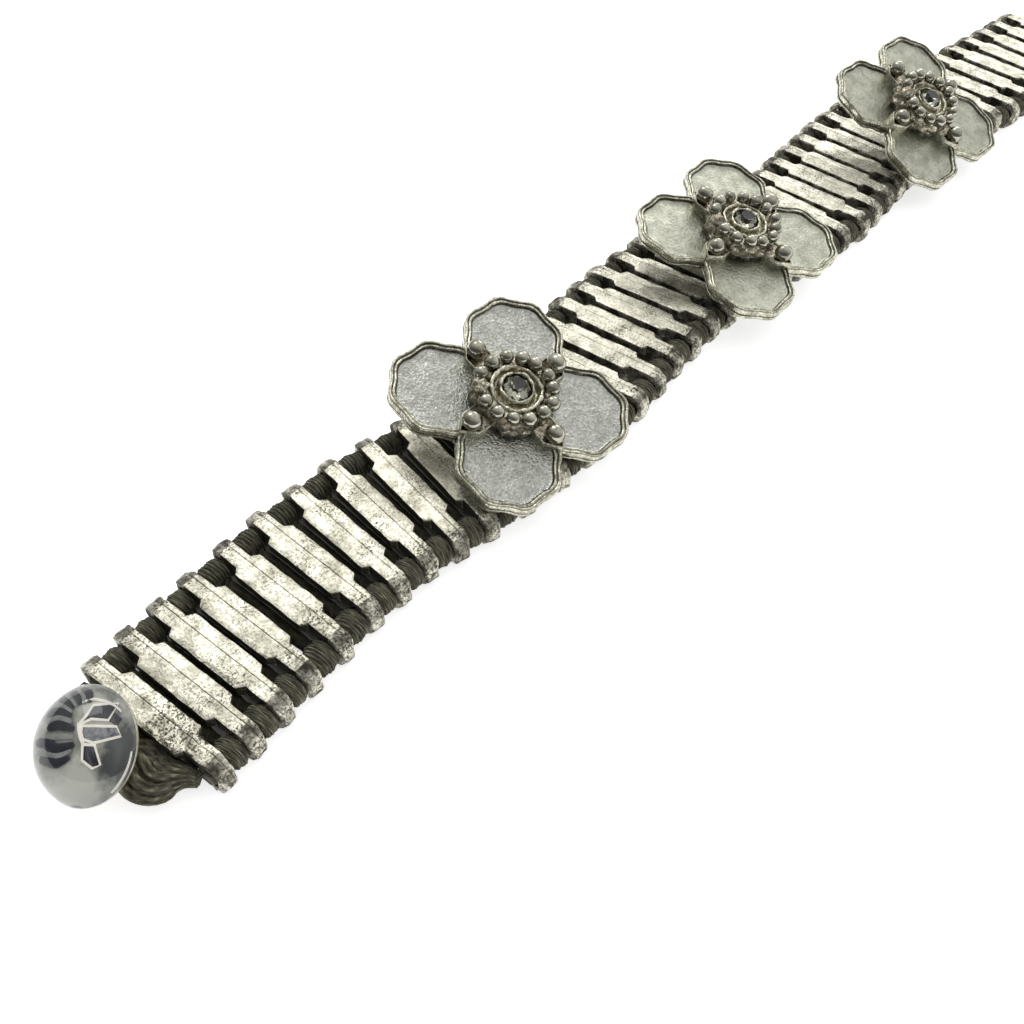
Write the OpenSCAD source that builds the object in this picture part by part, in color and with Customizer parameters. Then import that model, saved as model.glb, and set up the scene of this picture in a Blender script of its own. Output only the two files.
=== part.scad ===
/* [Bars] */
// Length of each cast bar, measured across the strip
bar_len = 17.5; // [17:0.25:18.5]
// Height of each bar
bar_h = 3.8; // [3.6:0.1:4.2]
// Thickness of a bar's narrow lugs, along the strip
lug_w = 1.65; // [1.4:0.05:1.7]
// Width of a bar's flat middle block, along the strip
block_w = 2.95; // [2.6:0.05:3.05]
// Length of the flat middle block, across the strip
block_len = 9.2; // [8.4:0.2:9.8]
// Thickness of the block before it slopes in to the lugs
block_h = 1.0; // [0.8:0.1:1.2]
// Radius of the cord hole in each lug
hole_r = 1.15; // [1.1:0.01:1.25]

/* [Flowers] */
// Distance of a petal's middle from the middle of its flower
petal_out = 7.0; // [6.8:0.1:7.2]
// Mean radius of a petal
petal_r = 5.3; // [5.1:0.1:5.5]
// Depth of the eight waves round a petal, as a share of its radius
petal_wave = 0.035; // [0.01:0.005:0.05]
// Thickness of a petal at its raised rim
petal_h = 1.3; // [1.1:0.1:1.5]
// Width of the raised rim round a petal
rim_w = 0.8; // [0.6:0.05:1]
// Depth of the sunk field inside the rim
field_depth = 0.45; // [0.2:0.05:0.5]
// Radius of the small beads in the ring
bead_r = 0.74; // [0.6:0.02:0.76]
// Number of small beads in the ring
bead_count = 14; // [12:1:14]
// Radius of the four large beads between the petals
big_bead_r = 1.0; // [0.8:0.05:1.1]
// Height of the raised mound that carries the ring of beads
mound_h = 2.95; // [2.6:0.05:3.2]
// Radius of the crystal in the middle
crystal_r = 1.4; // [1.2:0.05:1.4]

/* [Button] */
// Radius of the glass button
button_r = 4.8; // [4.6:0.1:4.9]
// Height of the dome above the button's edge
dome_h = 3.2; // [2.6:0.1:3.4]
// Lean of the button away from the first bar, in degrees
button_lean = 35; // [30:1:36]

/* [Cord] */
// Radius of the cord where it passes through a lug
cord_r = 0.92; // [0.8:0.01:0.95]
// Radius of the twisted ball between two lugs
ball_r = 1.45; // [1.2:0.05:1.5]
// Radius of the rope that crosses each gap
cross_r = 0.72; // [0.6:0.02:0.74]
// Radius of the cord in the closing loop
loop_r = 0.85; // [0.7:0.05:0.85]

/* [Hidden] */
// Lie of the strip at its key bars: bar place, distance along, offset across, turn in degrees
LIE = [
    [1, 0.0, -1.8, 6],
    [4, 10.6, -0.3, 4.5],
    [6, 19.0, 0.8, 2],
    [8, 27.1, 1.1, -4.5],
    [10, 35.2, 0.1, -10],
    [12, 43.7, -0.4, -2],
    [15, 55.6, 0.1, 8.5],
    [17, 63.5, 1.3, 8],
    [19, 71.1, 2.0, 10],
    [21, 78.5, 1.9, 5],
    [22, 82.3, 1.6, 2],
    [24, 90.0, 0.8, -5],
    [27, 101.0, -0.3, 4],
    [31, 115.7, 1.1, 2],
    [33, 122.9, 1.3, -3],
    [36, 134.0, 0.0, -8],
    [38, 141.4, -1.5, -1],
    [40, 149.6, -1.9, -1],
    [42, 157.6, -2.7, -5],
    [44, 165.6, -3.4, -4],
];
// The flowers: bar place that carries it, offset along, across, height of the petals' underside, lean, turn
FLOWERS = [
    [12, 0.3, -0.1, 6.4, 18.3, -2.5],
    [22, 0.6, -2.4, 6.2, 13, 3],
    [33, -0.6, -3.6, 6.8, 25, -3],
];
bar_places = 44;
gap = 0.1;
end_r = bar_h / 2;
hole_y = bar_len / 2 - end_r;
corner = 0.5;
lug_corner = 0.4;
cord_z = end_r;

outline_steps = 48;
waves = 8;
disc_r = 4.4;
disc_h = 1.5;
mound_low_r = 4.3;
mound_top_r = 3.9;
ring_r = 3.65;
ring_turn = 14.9;
bead_sink = 0.35;
cup_r = 2.35;
cup_wall = 0.4;
cup_floor = mound_h - 0.55;
cup_top = mound_h + 0.5;
leaf_h = 2.1;
leaf_tip = 7.3;
leaf_half_w = 1.35;
big_bead_out = 5.8;
post_r = 1.2;
post_sink = 0.4;
bezel_wall = 0.35;
bezel_top = mound_h + 0.45;
girdle_z = mound_h + 0.3;
table_z = mound_h + 1;
table_r = 0.8;
culet_r = 0.25;

button_at = [-5.45, -0.9, 4.3];
dome_edge = 0.4;
face_gap = 0.05;
plate_h = 0.45;
plate_r = button_r - 0.2;
plate_z = -dome_edge - face_gap - plate_h;
eye_drop = 1.9;
eye_r = 1.6;
eye_hole_r = 1.0;
eye_w = 1.4;

cord_sides = 8;
ball_at = [0.18, 0.5, 0.82];
ball_shoulder = 0.88;
cross_z = 1.6;
cross_clear = 0.25;
ball_clear = 0.15;

// Stretch of cord from the first bar's right lug through the button's eye to its left lug:
// along, across, height, half width, half height
BUTTON_ROUTE = [
    [-0.75, -8.35, 1.9, 0.6, 0.8],
    [-1.33, -7.35, 1.85, 0.9, 1.0],
    [-2.05, -6.6, 1.75, 1.5, 1.2],
    [-2.8, -6.1, 1.7, 2.2, 1.3],
    [-3.3, -5.25, 1.65, 2.5, 1.35],
    [-3.5, -4.3, 1.65, 2.4, 1.35],
    [-3.75, -3.2, 1.7, 2.0, 1.3],
    [-3.84, -2.3, 1.85, 1.2, 1.0],
    [-3.84, -1.6, 2.0, 0.8, 0.8],
    [-3.84, -0.2, 2.0, 0.8, 0.8],
    [-3.9, 1.4, 1.9, 0.9, 0.9],
    [-3.9, 3.2, 1.8, 1.0, 1.0],
    [-3.1, 4.4, 1.8, 1.0, 1.0],
    [-1.9, 4.9, 1.9, 0.75, 0.75],
];
// Half of the closing loop, from the last bar's lug to its far end: along, across, height
LOOP_HALF = [
    [1.15, 6.85, 1.9],
    [1.7, 6.85, 1.9],
    [2.5, 5.9, 1.8],
    [3.8, 3.8, 1.8],
    [5.2, 1.8, 1.8],
    [6.6, 0.95, 1.8],
    [9.4, 0.95, 1.8],
    [10.8, 1.9, 1.5],
    [12.6, 4.1, 1.1],
    [14.8, 5.7, 0.95],
    [17.2, 6.0, 0.95],
    [19.4, 4.7, 0.95],
    [20.7, 2.5, 0.95],
    [21.1, 0, 0.95],
];
knot_from = 7.0;
knot_len = 2.2;
knot_half_h = 1.7;
knot_z = 1.8;
knot_bore = 1.0;
strand_y = 0.95;

function lie(place, column) = lookup(place, [for (row = LIE) [row[0], row[column]]]);
function turn(place) = lie(place, 3);
function side(place) = [-sin(turn(place)), cos(turn(place)), 0];
function ahead(place) = [cos(turn(place)), sin(turn(place)), 0];
function mix(a, b, t) = a * (1 - t) + b * t;

// How far the strip and its ends reach, so that the whole stands centred on the origin
dome_sphere_r = (pow(button_r, 2) + pow(dome_h, 2)) / (2 * dome_h);
dome_drop = dome_sphere_r - dome_h;
places = [for (place = [1:bar_places]) place];
half_span = [for (p = places) bar_len / 2 * cos(turn(p)) + (lug_w / 2 - lug_corner) * abs(sin(turn(p)))];
function petal_points(mean_r) = [
    for (k = [0:outline_steps - 1])
        let (a = 360 * k / outline_steps)
        mean_r * (1 - petal_wave * cos(waves * a)) * [cos(a), sin(a)]
];
function petal_side(f, q, point, z) =
    let (reach = petal_out + point[0], t = 45 + 90 * q)
    let (x = reach * cos(t) - point[1] * sin(t), y = reach * sin(t) + point[1] * cos(t))
    lie(f[0], 2) + f[2] + x * sin(f[5]) + (y * cos(f[4]) - z * sin(f[4])) * cos(f[5]);
petal_sides = [
    for (f = FLOWERS) for (q = [0:3]) for (point = petal_points(petal_r)) for (z = [0, petal_h])
        petal_side(f, q, point, z)
];
x_low = button_at[0] + dome_drop * sin(button_lean) - dome_sphere_r;
loop_side = loop_r * cos(180 / cord_sides);
x_high = lie(bar_places, 1) + (LOOP_HALF[len(LOOP_HALF) - 1][0] + loop_side) * cos(turn(bar_places));
y_low = min(concat(petal_sides, [for (p = places) lie(p, 2) - half_span[p - 1]]));
y_high = max(concat(petal_sides, [for (p = places) lie(p, 2) + half_span[p - 1]]));
centre = [(x_low + x_high) / 2, (y_low + y_high) / 2, 0];
function at(place) = [lie(place, 1), lie(place, 2), 0] - centre;

flower_places = [for (f = FLOWERS) f[0]];
plain_places = [for (p = places) if (len([for (f = flower_places) if (f == p) f]) == 0) p];
function bar_name(place) = str("bar_", place < 10 ? "0" : "", place);

// Two round ends joined by straight sides, standing on the x axis
module stadium(length, height) {
    reach = length / 2 - height / 2;
    for (s = [-1, 1]) translate([s * reach, height / 2]) circle(r = height / 2, $fn = 48);
    translate([-reach, 0]) square([2 * reach, height]);
}

// Turns a shape drawn across the strip upright and gives it a thickness along the strip
module stand_across(thickness) {
    rotate([90, 0, 90]) translate([0, 0, -thickness / 2]) linear_extrude(thickness) children();
}

// The wide flat block on the middle of a bar, sloped in below and cut off at its corners
module block() {
    w = block_w / 2;
    t = lug_w / 2;
    l = block_len / 2;
    low = bar_h - block_h;
    intersection() {
        rotate([90, 0, 0]) linear_extrude(block_len, center = true)
            polygon([[-w, bar_h], [-w, low], [-t, low - corner], [t, low - corner], [w, low], [w, bar_h]]);
        linear_extrude(bar_h)
            polygon([
                [-t, -l], [t, -l], [w, corner - l], [w, l - corner],
                [t, l], [-t, l], [-w, l - corner], [-w, corner - l]
            ]);
    }
}

// The upright lug part of a bar, its ends cut off at their corners
module lugs() {
    t = lug_w / 2;
    l = bar_len / 2;
    c = lug_corner;
    intersection() {
        stand_across(lug_w) stadium(bar_len, bar_h);
        linear_extrude(bar_h)
            polygon([
                [-t, c - l], [c - t, -l], [t - c, -l], [t, c - l],
                [t, l - c], [t - c, l], [c - t, l], [-t, l - c]
            ]);
    }
}

// One cast bar, across the strip, on its own middle
module bar_body() {
    difference() {
        union() {
            lugs();
            block();
        }
        for (s = [-1, 1]) translate([0, s * hole_y, cord_z])
            rotate([0, 90, 0]) cylinder(h = 2 * lug_w, r = hole_r, center = true, $fn = 48);
    }
}

module on_strip(place) {
    translate(at(place)) rotate([0, 0, turn(place)]) children();
}

module bar_link(place) {
    color([0.78, 0.77, 0.70]) on_strip(place) bar_body();
}

// Outline of a petal round its own middle, its waves set so that a hollow points outwards
module petal_outline(mean_r) {
    polygon(petal_points(mean_r));
}

// Four petals with raised rims
module petals() {
    for (q = [0:3]) rotate([0, 0, 45 + 90 * q]) translate([petal_out, 0, 0])
        difference() {
            linear_extrude(petal_h) petal_outline(petal_r);
            translate([0, 0, petal_h - field_depth])
                linear_extrude(petal_h) petal_outline(petal_r - rim_w);
        }
}

// Pointed leaf and large bead that cover the notch between two petals
module leaf_and_bead() {
    linear_extrude(leaf_h)
        polygon([[disc_r - 1, -leaf_half_w], [big_bead_out, -leaf_half_w], [leaf_tip, 0],
            [big_bead_out, leaf_half_w], [disc_r - 1, leaf_half_w]]);
    translate([big_bead_out, 0, leaf_h + big_bead_r / 2]) sphere(r = big_bead_r, $fn = 32);
}

module bead_ring() {
    for (k = [0:bead_count - 1])
        rotate([0, 0, ring_turn + 360 * k / bead_count]) translate([ring_r, 0, mound_h + bead_sink])
            sphere(r = bead_r, $fn = 32);
}

module tube(outer_r, wall, low, high) {
    translate([0, 0, low]) difference() {
        cylinder(h = high - low, r = outer_r, $fn = 48);
        translate([0, 0, -1]) cylinder(h = high - low + 2, r = outer_r - wall, $fn = 48);
    }
}

// The cast flower on its own middle, the underside of its petals at zero
module flower_head() {
    difference() {
        union() {
            petals();
            cylinder(h = disc_h, r = disc_r, $fn = 64);
            translate([0, 0, disc_h / 2])
                cylinder(h = mound_h - disc_h / 2, r1 = mound_low_r, r2 = mound_top_r, $fn = 64);
            for (q = [0:3]) rotate([0, 0, 90 * q]) leaf_and_bead();
        }
        translate([0, 0, cup_floor]) cylinder(h = mound_h, r = cup_r, $fn = 48);
    }
    tube(cup_r + cup_wall, cup_wall, cup_floor, cup_top);
    tube(crystal_r + gap + bezel_wall, bezel_wall, cup_floor - gap, bezel_top);
    bead_ring();
}

module on_flower(number) {
    f = FLOWERS[number - 1];
    translate(at(f[0]) + [f[1], f[2], f[3]]) rotate([f[4], 0, f[5]]) children();
}

// A flower soldered by a short post to the bar that carries it
module flower(number) {
    f = FLOWERS[number - 1];
    post_len = (f[3] - bar_h) / cos(f[4]) + post_sink;
    color([0.62, 0.63, 0.60]) union() {
        on_strip(f[0]) bar_body();
        on_flower(number) {
            flower_head();
            translate([0, 0, -post_len]) cylinder(h = post_len + post_sink, r = post_r, $fn = 32);
        }
    }
}

// Cut stone with a flat table, eight crown facets and eight pavilion facets
module crystal(number) {
    low = cup_floor + gap;
    color([0.82, 0.85, 0.86]) on_flower(number) {
        translate([0, 0, girdle_z])
            cylinder(h = table_z - girdle_z, r1 = crystal_r, r2 = table_r, $fn = 8);
        translate([0, 0, low]) cylinder(h = girdle_z - low, r1 = culet_r, r2 = crystal_r, $fn = 8);
    }
}

// Cord points on one ring: middle, two directions and two half widths
function ring(c, u, v, ru, rv) = [
    for (k = [0:cord_sides - 1])
        let (a = 360 * (k + 0.5) / cord_sides)
        c + u * ru * cos(a) + v * rv * sin(a)
];

// Closed skin over a row of rings
module skin(rings) {
    n = cord_sides;
    last = len(rings) - 1;
    polyhedron(
        points = [for (r = rings) for (p = r) p],
        faces = concat(
            [[for (k = [0:n - 1]) k]],
            [
                for (i = [0:last - 1]) for (k = [0:n - 1])
                    let (j = (k + 1) % n)
                    [i * n + k, (i + 1) * n + k, (i + 1) * n + j, i * n + j]
            ],
            [[for (k = [n - 1:-1:0]) last * n + k]]
        )
    );
}

// Middle of the cord hole in one lug, shifted along the strip
function lug_at(place, s, shift) =
    at(place) + side(place) * s * hole_y + ahead(place) * shift + [0, 0, cord_z];

function ball_half(t) = t == ball_at[1] ? ball_r : ball_r * ball_shoulder;

// Rings of the cord on one edge: thin inside each lug, a fat ball in each gap
function edge_rings(s) = [
    for (p = places)
        let (half = lug_w / 2 + face_gap)
        let (more = p < bar_places ? ball_at : [])
        for (t = concat([-1, 0], more))
            t <= 0
                ? ring(lug_at(p, s, t < 0 ? -half : half), side(p), [0, 0, 1], cord_r, cord_r)
                : ring(
                    mix(lug_at(p, s, half), lug_at(p + 1, s, -half), t),
                    mix(side(p), side(p + 1), t), [0, 0, 1],
                    ball_half(t), ball_half(t))
];

module edge_cord(s) {
    color([0.32, 0.31, 0.25]) skin(edge_rings(s));
}

// Ropes across the gaps, each close to the bar after it
module cross_cords() {
    length = 2 * (hole_y - ball_r - ball_clear);
    color([0.36, 0.35, 0.28])
        for (p = [1:bar_places - 1])
            let (t = 1 - (lug_w / 2 + cross_r + cross_clear) / norm(at(p + 1) - at(p)))
            translate(mix(at(p), at(p + 1), t) + [0, 0, cross_z])
                rotate([90, 0, mix(turn(p), turn(p + 1), t)])
                    cylinder(h = length, r = cross_r, center = true, $fn = 24);
}

module on_button() {
    translate(button_at - centre) rotate([0, -button_lean, 0]) children();
}

// Clear domed glass with a flat back and a short straight edge
module button_dome() {
    color([0.70, 0.72, 0.72, 0.6]) on_button() {
        intersection() {
            translate([0, 0, -dome_drop]) sphere(r = dome_sphere_r, $fn = 96);
            cylinder(h = dome_h + 1, r = button_r, $fn = 96);
        }
        translate([0, 0, -dome_edge]) cylinder(h = dome_edge, r = button_r, $fn = 96);
    }
}

// Thin back plate and the eye that the cord passes through
module button_shank() {
    eye_z = plate_z - eye_drop;
    color([0.70, 0.69, 0.63]) on_button() difference() {
        union() {
            translate([0, 0, plate_z]) cylinder(h = plate_h, r = plate_r, $fn = 64);
            translate([0, 0, eye_z]) rotate([90, 0, 0])
                cylinder(h = eye_w, r = eye_r, center = true, $fn = 48);
            translate([-eye_hole_r, -eye_w / 2, eye_z + eye_hole_r])
                cube([2 * eye_hole_r, eye_w, eye_drop - eye_hole_r + plate_h / 2]);
        }
        translate([0, 0, eye_z]) rotate([90, 0, 0])
            cylinder(h = 2 * eye_w, r = eye_hole_r, center = true, $fn = 48);
    }
}

// Point between b and c on a smooth curve that passes through all four
function curve_point(a, b, c, d, t) =
    0.5 * (2 * b + (c - a) * t + (2 * a - 5 * b + 4 * c - d) * t * t + (3 * b - a - 3 * c + d) * t * t * t);

// A route with extra points between its own, on a smooth curve
function smooth_route(r, steps) = concat(
    [
        for (i = [0:len(r) - 2]) for (k = [0:steps - 1])
            curve_point(r[max(i - 1, 0)], r[i], r[i + 1], r[min(i + 2, len(r) - 1)], k / steps)
    ],
    [r[len(r) - 1]]
);

function flat_part(v) = [v[0], v[1], v[2]];
function heading(r, i) =
    let (d = flat_part(r[min(i + 1, len(r) - 1)]) - flat_part(r[max(i - 1, 0)])) d / norm(d);

// Rings along a route whose rows are along, across, height, half width, half height
function route_rings(r) = [
    for (i = [0:len(r) - 1])
        let (t = heading(r, i), u = [-t[1], t[0], 0] / norm([t[0], t[1]]), v = cross(t, u))
        ring(flat_part(r[i]), -u, v, r[i][3], r[i][4])
];

module button_cord() {
    color([0.32, 0.31, 0.25]) translate(-centre) skin(route_rings(smooth_route(BUTTON_ROUTE, 3)));
}

// The two halves of the closing loop as one route, from the left lug round to the right one
loop_route = [
    for (s = [1, -1])
        for (i = [0:len(LOOP_HALF) - (s > 0 ? 1 : 2)])
            let (q = s > 0 ? LOOP_HALF[i] : LOOP_HALF[len(LOOP_HALF) - 2 - i])
            [q[0], s * q[1], q[2], loop_r, loop_r]
];

module loop_cord() {
    color([0.32, 0.31, 0.25]) on_strip(bar_places) skin(route_rings(smooth_route(loop_route, 3)));
}

// Bound knot that gathers the two strands at the neck of the loop
module loop_knot() {
    color([0.30, 0.29, 0.23]) on_strip(bar_places)
        translate([knot_from + knot_len / 2, 0, knot_z - knot_half_h]) stand_across(knot_len)
            difference() {
                stadium(2 * (strand_y + knot_half_h), 2 * knot_half_h);
                translate([0, knot_half_h - knot_bore])
                    stadium(2 * (strand_y + knot_bore), 2 * knot_bore);
            }
}

for (p = plain_places) bar_link(p);
for (i = [1:3]) flower(i);
for (i = [1:3]) crystal(i);
edge_cord(1);  // edge_cord_left
edge_cord(-1);  // edge_cord_right
cross_cords();
button_dome();
button_shank();
button_cord();
loop_cord();
loop_knot();
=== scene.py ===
"""Flower bracelet on a white table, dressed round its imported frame.

Two-hole cast bars are threaded on twisted cord, three cast flowers stand on their own bars,
and a domed glass button faces a closing loop at the far end. Until a piece is finished its
lengths are in millimetres, in the frame's axes: x along the strip, y across it and z up.
"""
import logging
import math
import random
from collections.abc import Sequence
from dataclasses import dataclass, field
from enum import Enum, IntEnum

import bmesh
import bpy
from mathutils import Matrix, Vector, noise


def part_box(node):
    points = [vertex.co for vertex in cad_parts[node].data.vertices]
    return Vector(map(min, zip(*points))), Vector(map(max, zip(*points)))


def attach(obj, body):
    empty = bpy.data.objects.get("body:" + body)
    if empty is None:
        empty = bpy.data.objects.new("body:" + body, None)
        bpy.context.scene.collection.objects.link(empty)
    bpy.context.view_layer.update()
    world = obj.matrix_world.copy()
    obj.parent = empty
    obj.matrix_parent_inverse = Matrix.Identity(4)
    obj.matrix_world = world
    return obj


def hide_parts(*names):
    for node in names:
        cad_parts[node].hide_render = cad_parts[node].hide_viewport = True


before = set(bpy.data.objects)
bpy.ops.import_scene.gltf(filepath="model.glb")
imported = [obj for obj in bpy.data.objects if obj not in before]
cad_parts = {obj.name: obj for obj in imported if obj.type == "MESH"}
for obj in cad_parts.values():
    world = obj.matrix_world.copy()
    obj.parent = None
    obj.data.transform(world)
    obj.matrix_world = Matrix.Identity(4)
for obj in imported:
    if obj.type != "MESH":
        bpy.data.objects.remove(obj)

log = logging.getLogger("bracelet")

Mesh = bmesh.types.BMesh
Tree = bpy.types.NodeTree
Output = bpy.types.NodeSocket
Feed = Output | float | Sequence[float]

MM = 0.001
BODY = "root"
FULL_TURN = 2 * math.pi
BAR_PLACES = 44
FLOWER_PLACES = (12, 22, 33)
CORNERS = ((-1, -1), (-1, 1), (1, -1), (1, 1))


class Slot(Enum):
    """Material slots of the record; each piece is passed one, which nothing reads."""

    CAST = "cast_metal"
    FLOWER = "flower_metal"
    CORD = "cord"
    GLASS = "clear_glass"


class Skin(IntEnum):
    """Places of a flower's finishes in its list of materials."""

    BAR = 0
    FIELD = 1
    RIM = 2
    # Darkening in the grooves, and painted shade under the flower
    GROOVE_AND_SHADE = 3
    BEAD = 4
    GROUND = 5


# ---------------------------------------------------------------- finishes


def linear(code: str) -> tuple[float, float, float, float]:
    """Turns an sRGB hex value to a linear colour.

    Args:
        code: Six hex digits after a hash.

    Returns:
        Red, green, blue and an alpha of one.
    """
    parts = [int(code[i : i + 2], 16) / 255 for i in (1, 3, 5)]
    return (*(p / 12.92 if p <= 0.04045 else ((p + 0.055) / 1.055) ** 2.4 for p in parts), 1.0)


def add_node(
    tree: Tree, kind: str, sockets: dict[str | int, Feed] | None = None, **settings: object
) -> bpy.types.Node:
    """Adds a node with its settings, values and links.

    Args:
        tree: The material's or world's node tree.
        kind: The node's type name.
        sockets: Input name or number to a value, or to the output that feeds it.
        **settings: The node's own properties.

    Returns:
        The new node.
    """
    made = tree.nodes.new(kind)
    for name, value in settings.items():
        setattr(made, name, value)
    for key, value in (sockets or {}).items():
        if isinstance(value, bpy.types.NodeSocket):
            tree.links.new(value, made.inputs[key])
        else:
            made.inputs[key].default_value = value
    return made


def blended(tree: Tree, share: Feed, first: Feed, second: Feed) -> Output:
    """Mixes two colours by a share and returns the output."""
    mix = add_node(tree, "ShaderNodeMix", {0: share, 6: first, 7: second}, data_type="RGBA")
    return mix.outputs[2]


def ranged(
    tree: Tree, value: Feed, low: float, high: float, to_low: float = 0.0, to_high: float = 1.0
) -> Output:
    """Maps a value from one range to another, or to 0 to 1, and returns the output."""
    sockets = {"Value": value, "From Min": low, "From Max": high, "To Min": to_low, "To Max": to_high}
    return add_node(tree, "ShaderNodeMapRange", sockets).outputs["Result"]


def reckoned(tree: Tree, sum_name: str, *values: Feed) -> Output:
    """Does one sum on its values and returns the output."""
    return add_node(tree, "ShaderNodeMath", dict(enumerate(values)), operation=sum_name).outputs[0]


def painted(tree: Tree, attribute: str) -> Output:
    """Returns a number that the mesh carries."""
    return add_node(tree, "ShaderNodeAttribute", attribute_name=attribute).outputs["Fac"]


def in_millimetres(tree: Tree) -> Output:
    """Returns the Object coordinates, in millimetres."""
    coordinates = add_node(tree, "ShaderNodeTexCoord").outputs["Object"]
    scaled = add_node(tree, "ShaderNodeMapping", {"Vector": coordinates, "Scale": (1 / MM,) * 3})
    return scaled.outputs["Vector"]


def grain(tree: Tree, vector: Output, size_mm: float, detail: float = 3.0) -> Output:
    """Returns a noise whose blotches are about one size across.

    Args:
        tree: The material's node tree.
        vector: Coordinates in millimetres.
        size_mm: Size of a blotch.
        detail: Number of finer layers.

    Returns:
        The noise's output.
    """
    sockets = {"Vector": vector, "Scale": 1 / size_mm, "Detail": detail, "Roughness": 0.6}
    return add_node(tree, "ShaderNodeTexNoise", sockets).outputs["Fac"]


def raised(tree: Tree, height: Feed, depth_mm: float, below: Output | None = None) -> Output:
    """Returns a normal that a height raises, on top of an earlier one where there is one."""
    sockets = {"Height": height, "Strength": 1.0, "Distance": depth_mm * MM}
    if below is not None:
        sockets["Normal"] = below
    return add_node(tree, "ShaderNodeBump", sockets).outputs[0]


@dataclass(frozen=True)
class Finish:
    """What all finishes share: one shader.

    Attributes:
        name: The material's name.
    """

    name: str

    def material(self) -> bpy.types.Material:
        """Returns the finish's material, made when it is first asked for."""
        known = bpy.data.materials.get(self.name)
        if known:
            return known
        made = bpy.data.materials.new(self.name)
        made.use_nodes = True
        tree = made.node_tree
        tree.nodes.clear()
        shader = add_node(tree, "ShaderNodeBsdfPrincipled")
        add_node(tree, "ShaderNodeOutputMaterial", {"Surface": shader.outputs[0]})
        self.dress(tree, shader.inputs)
        return made

    def dress(self, tree: Tree, shader: bpy.types.NodeInputs) -> None:
        """Sets and links the shader's sockets.

        Args:
            tree: The material's node tree.
            shader: The shader's sockets.
        """
        raise NotImplementedError


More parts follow.
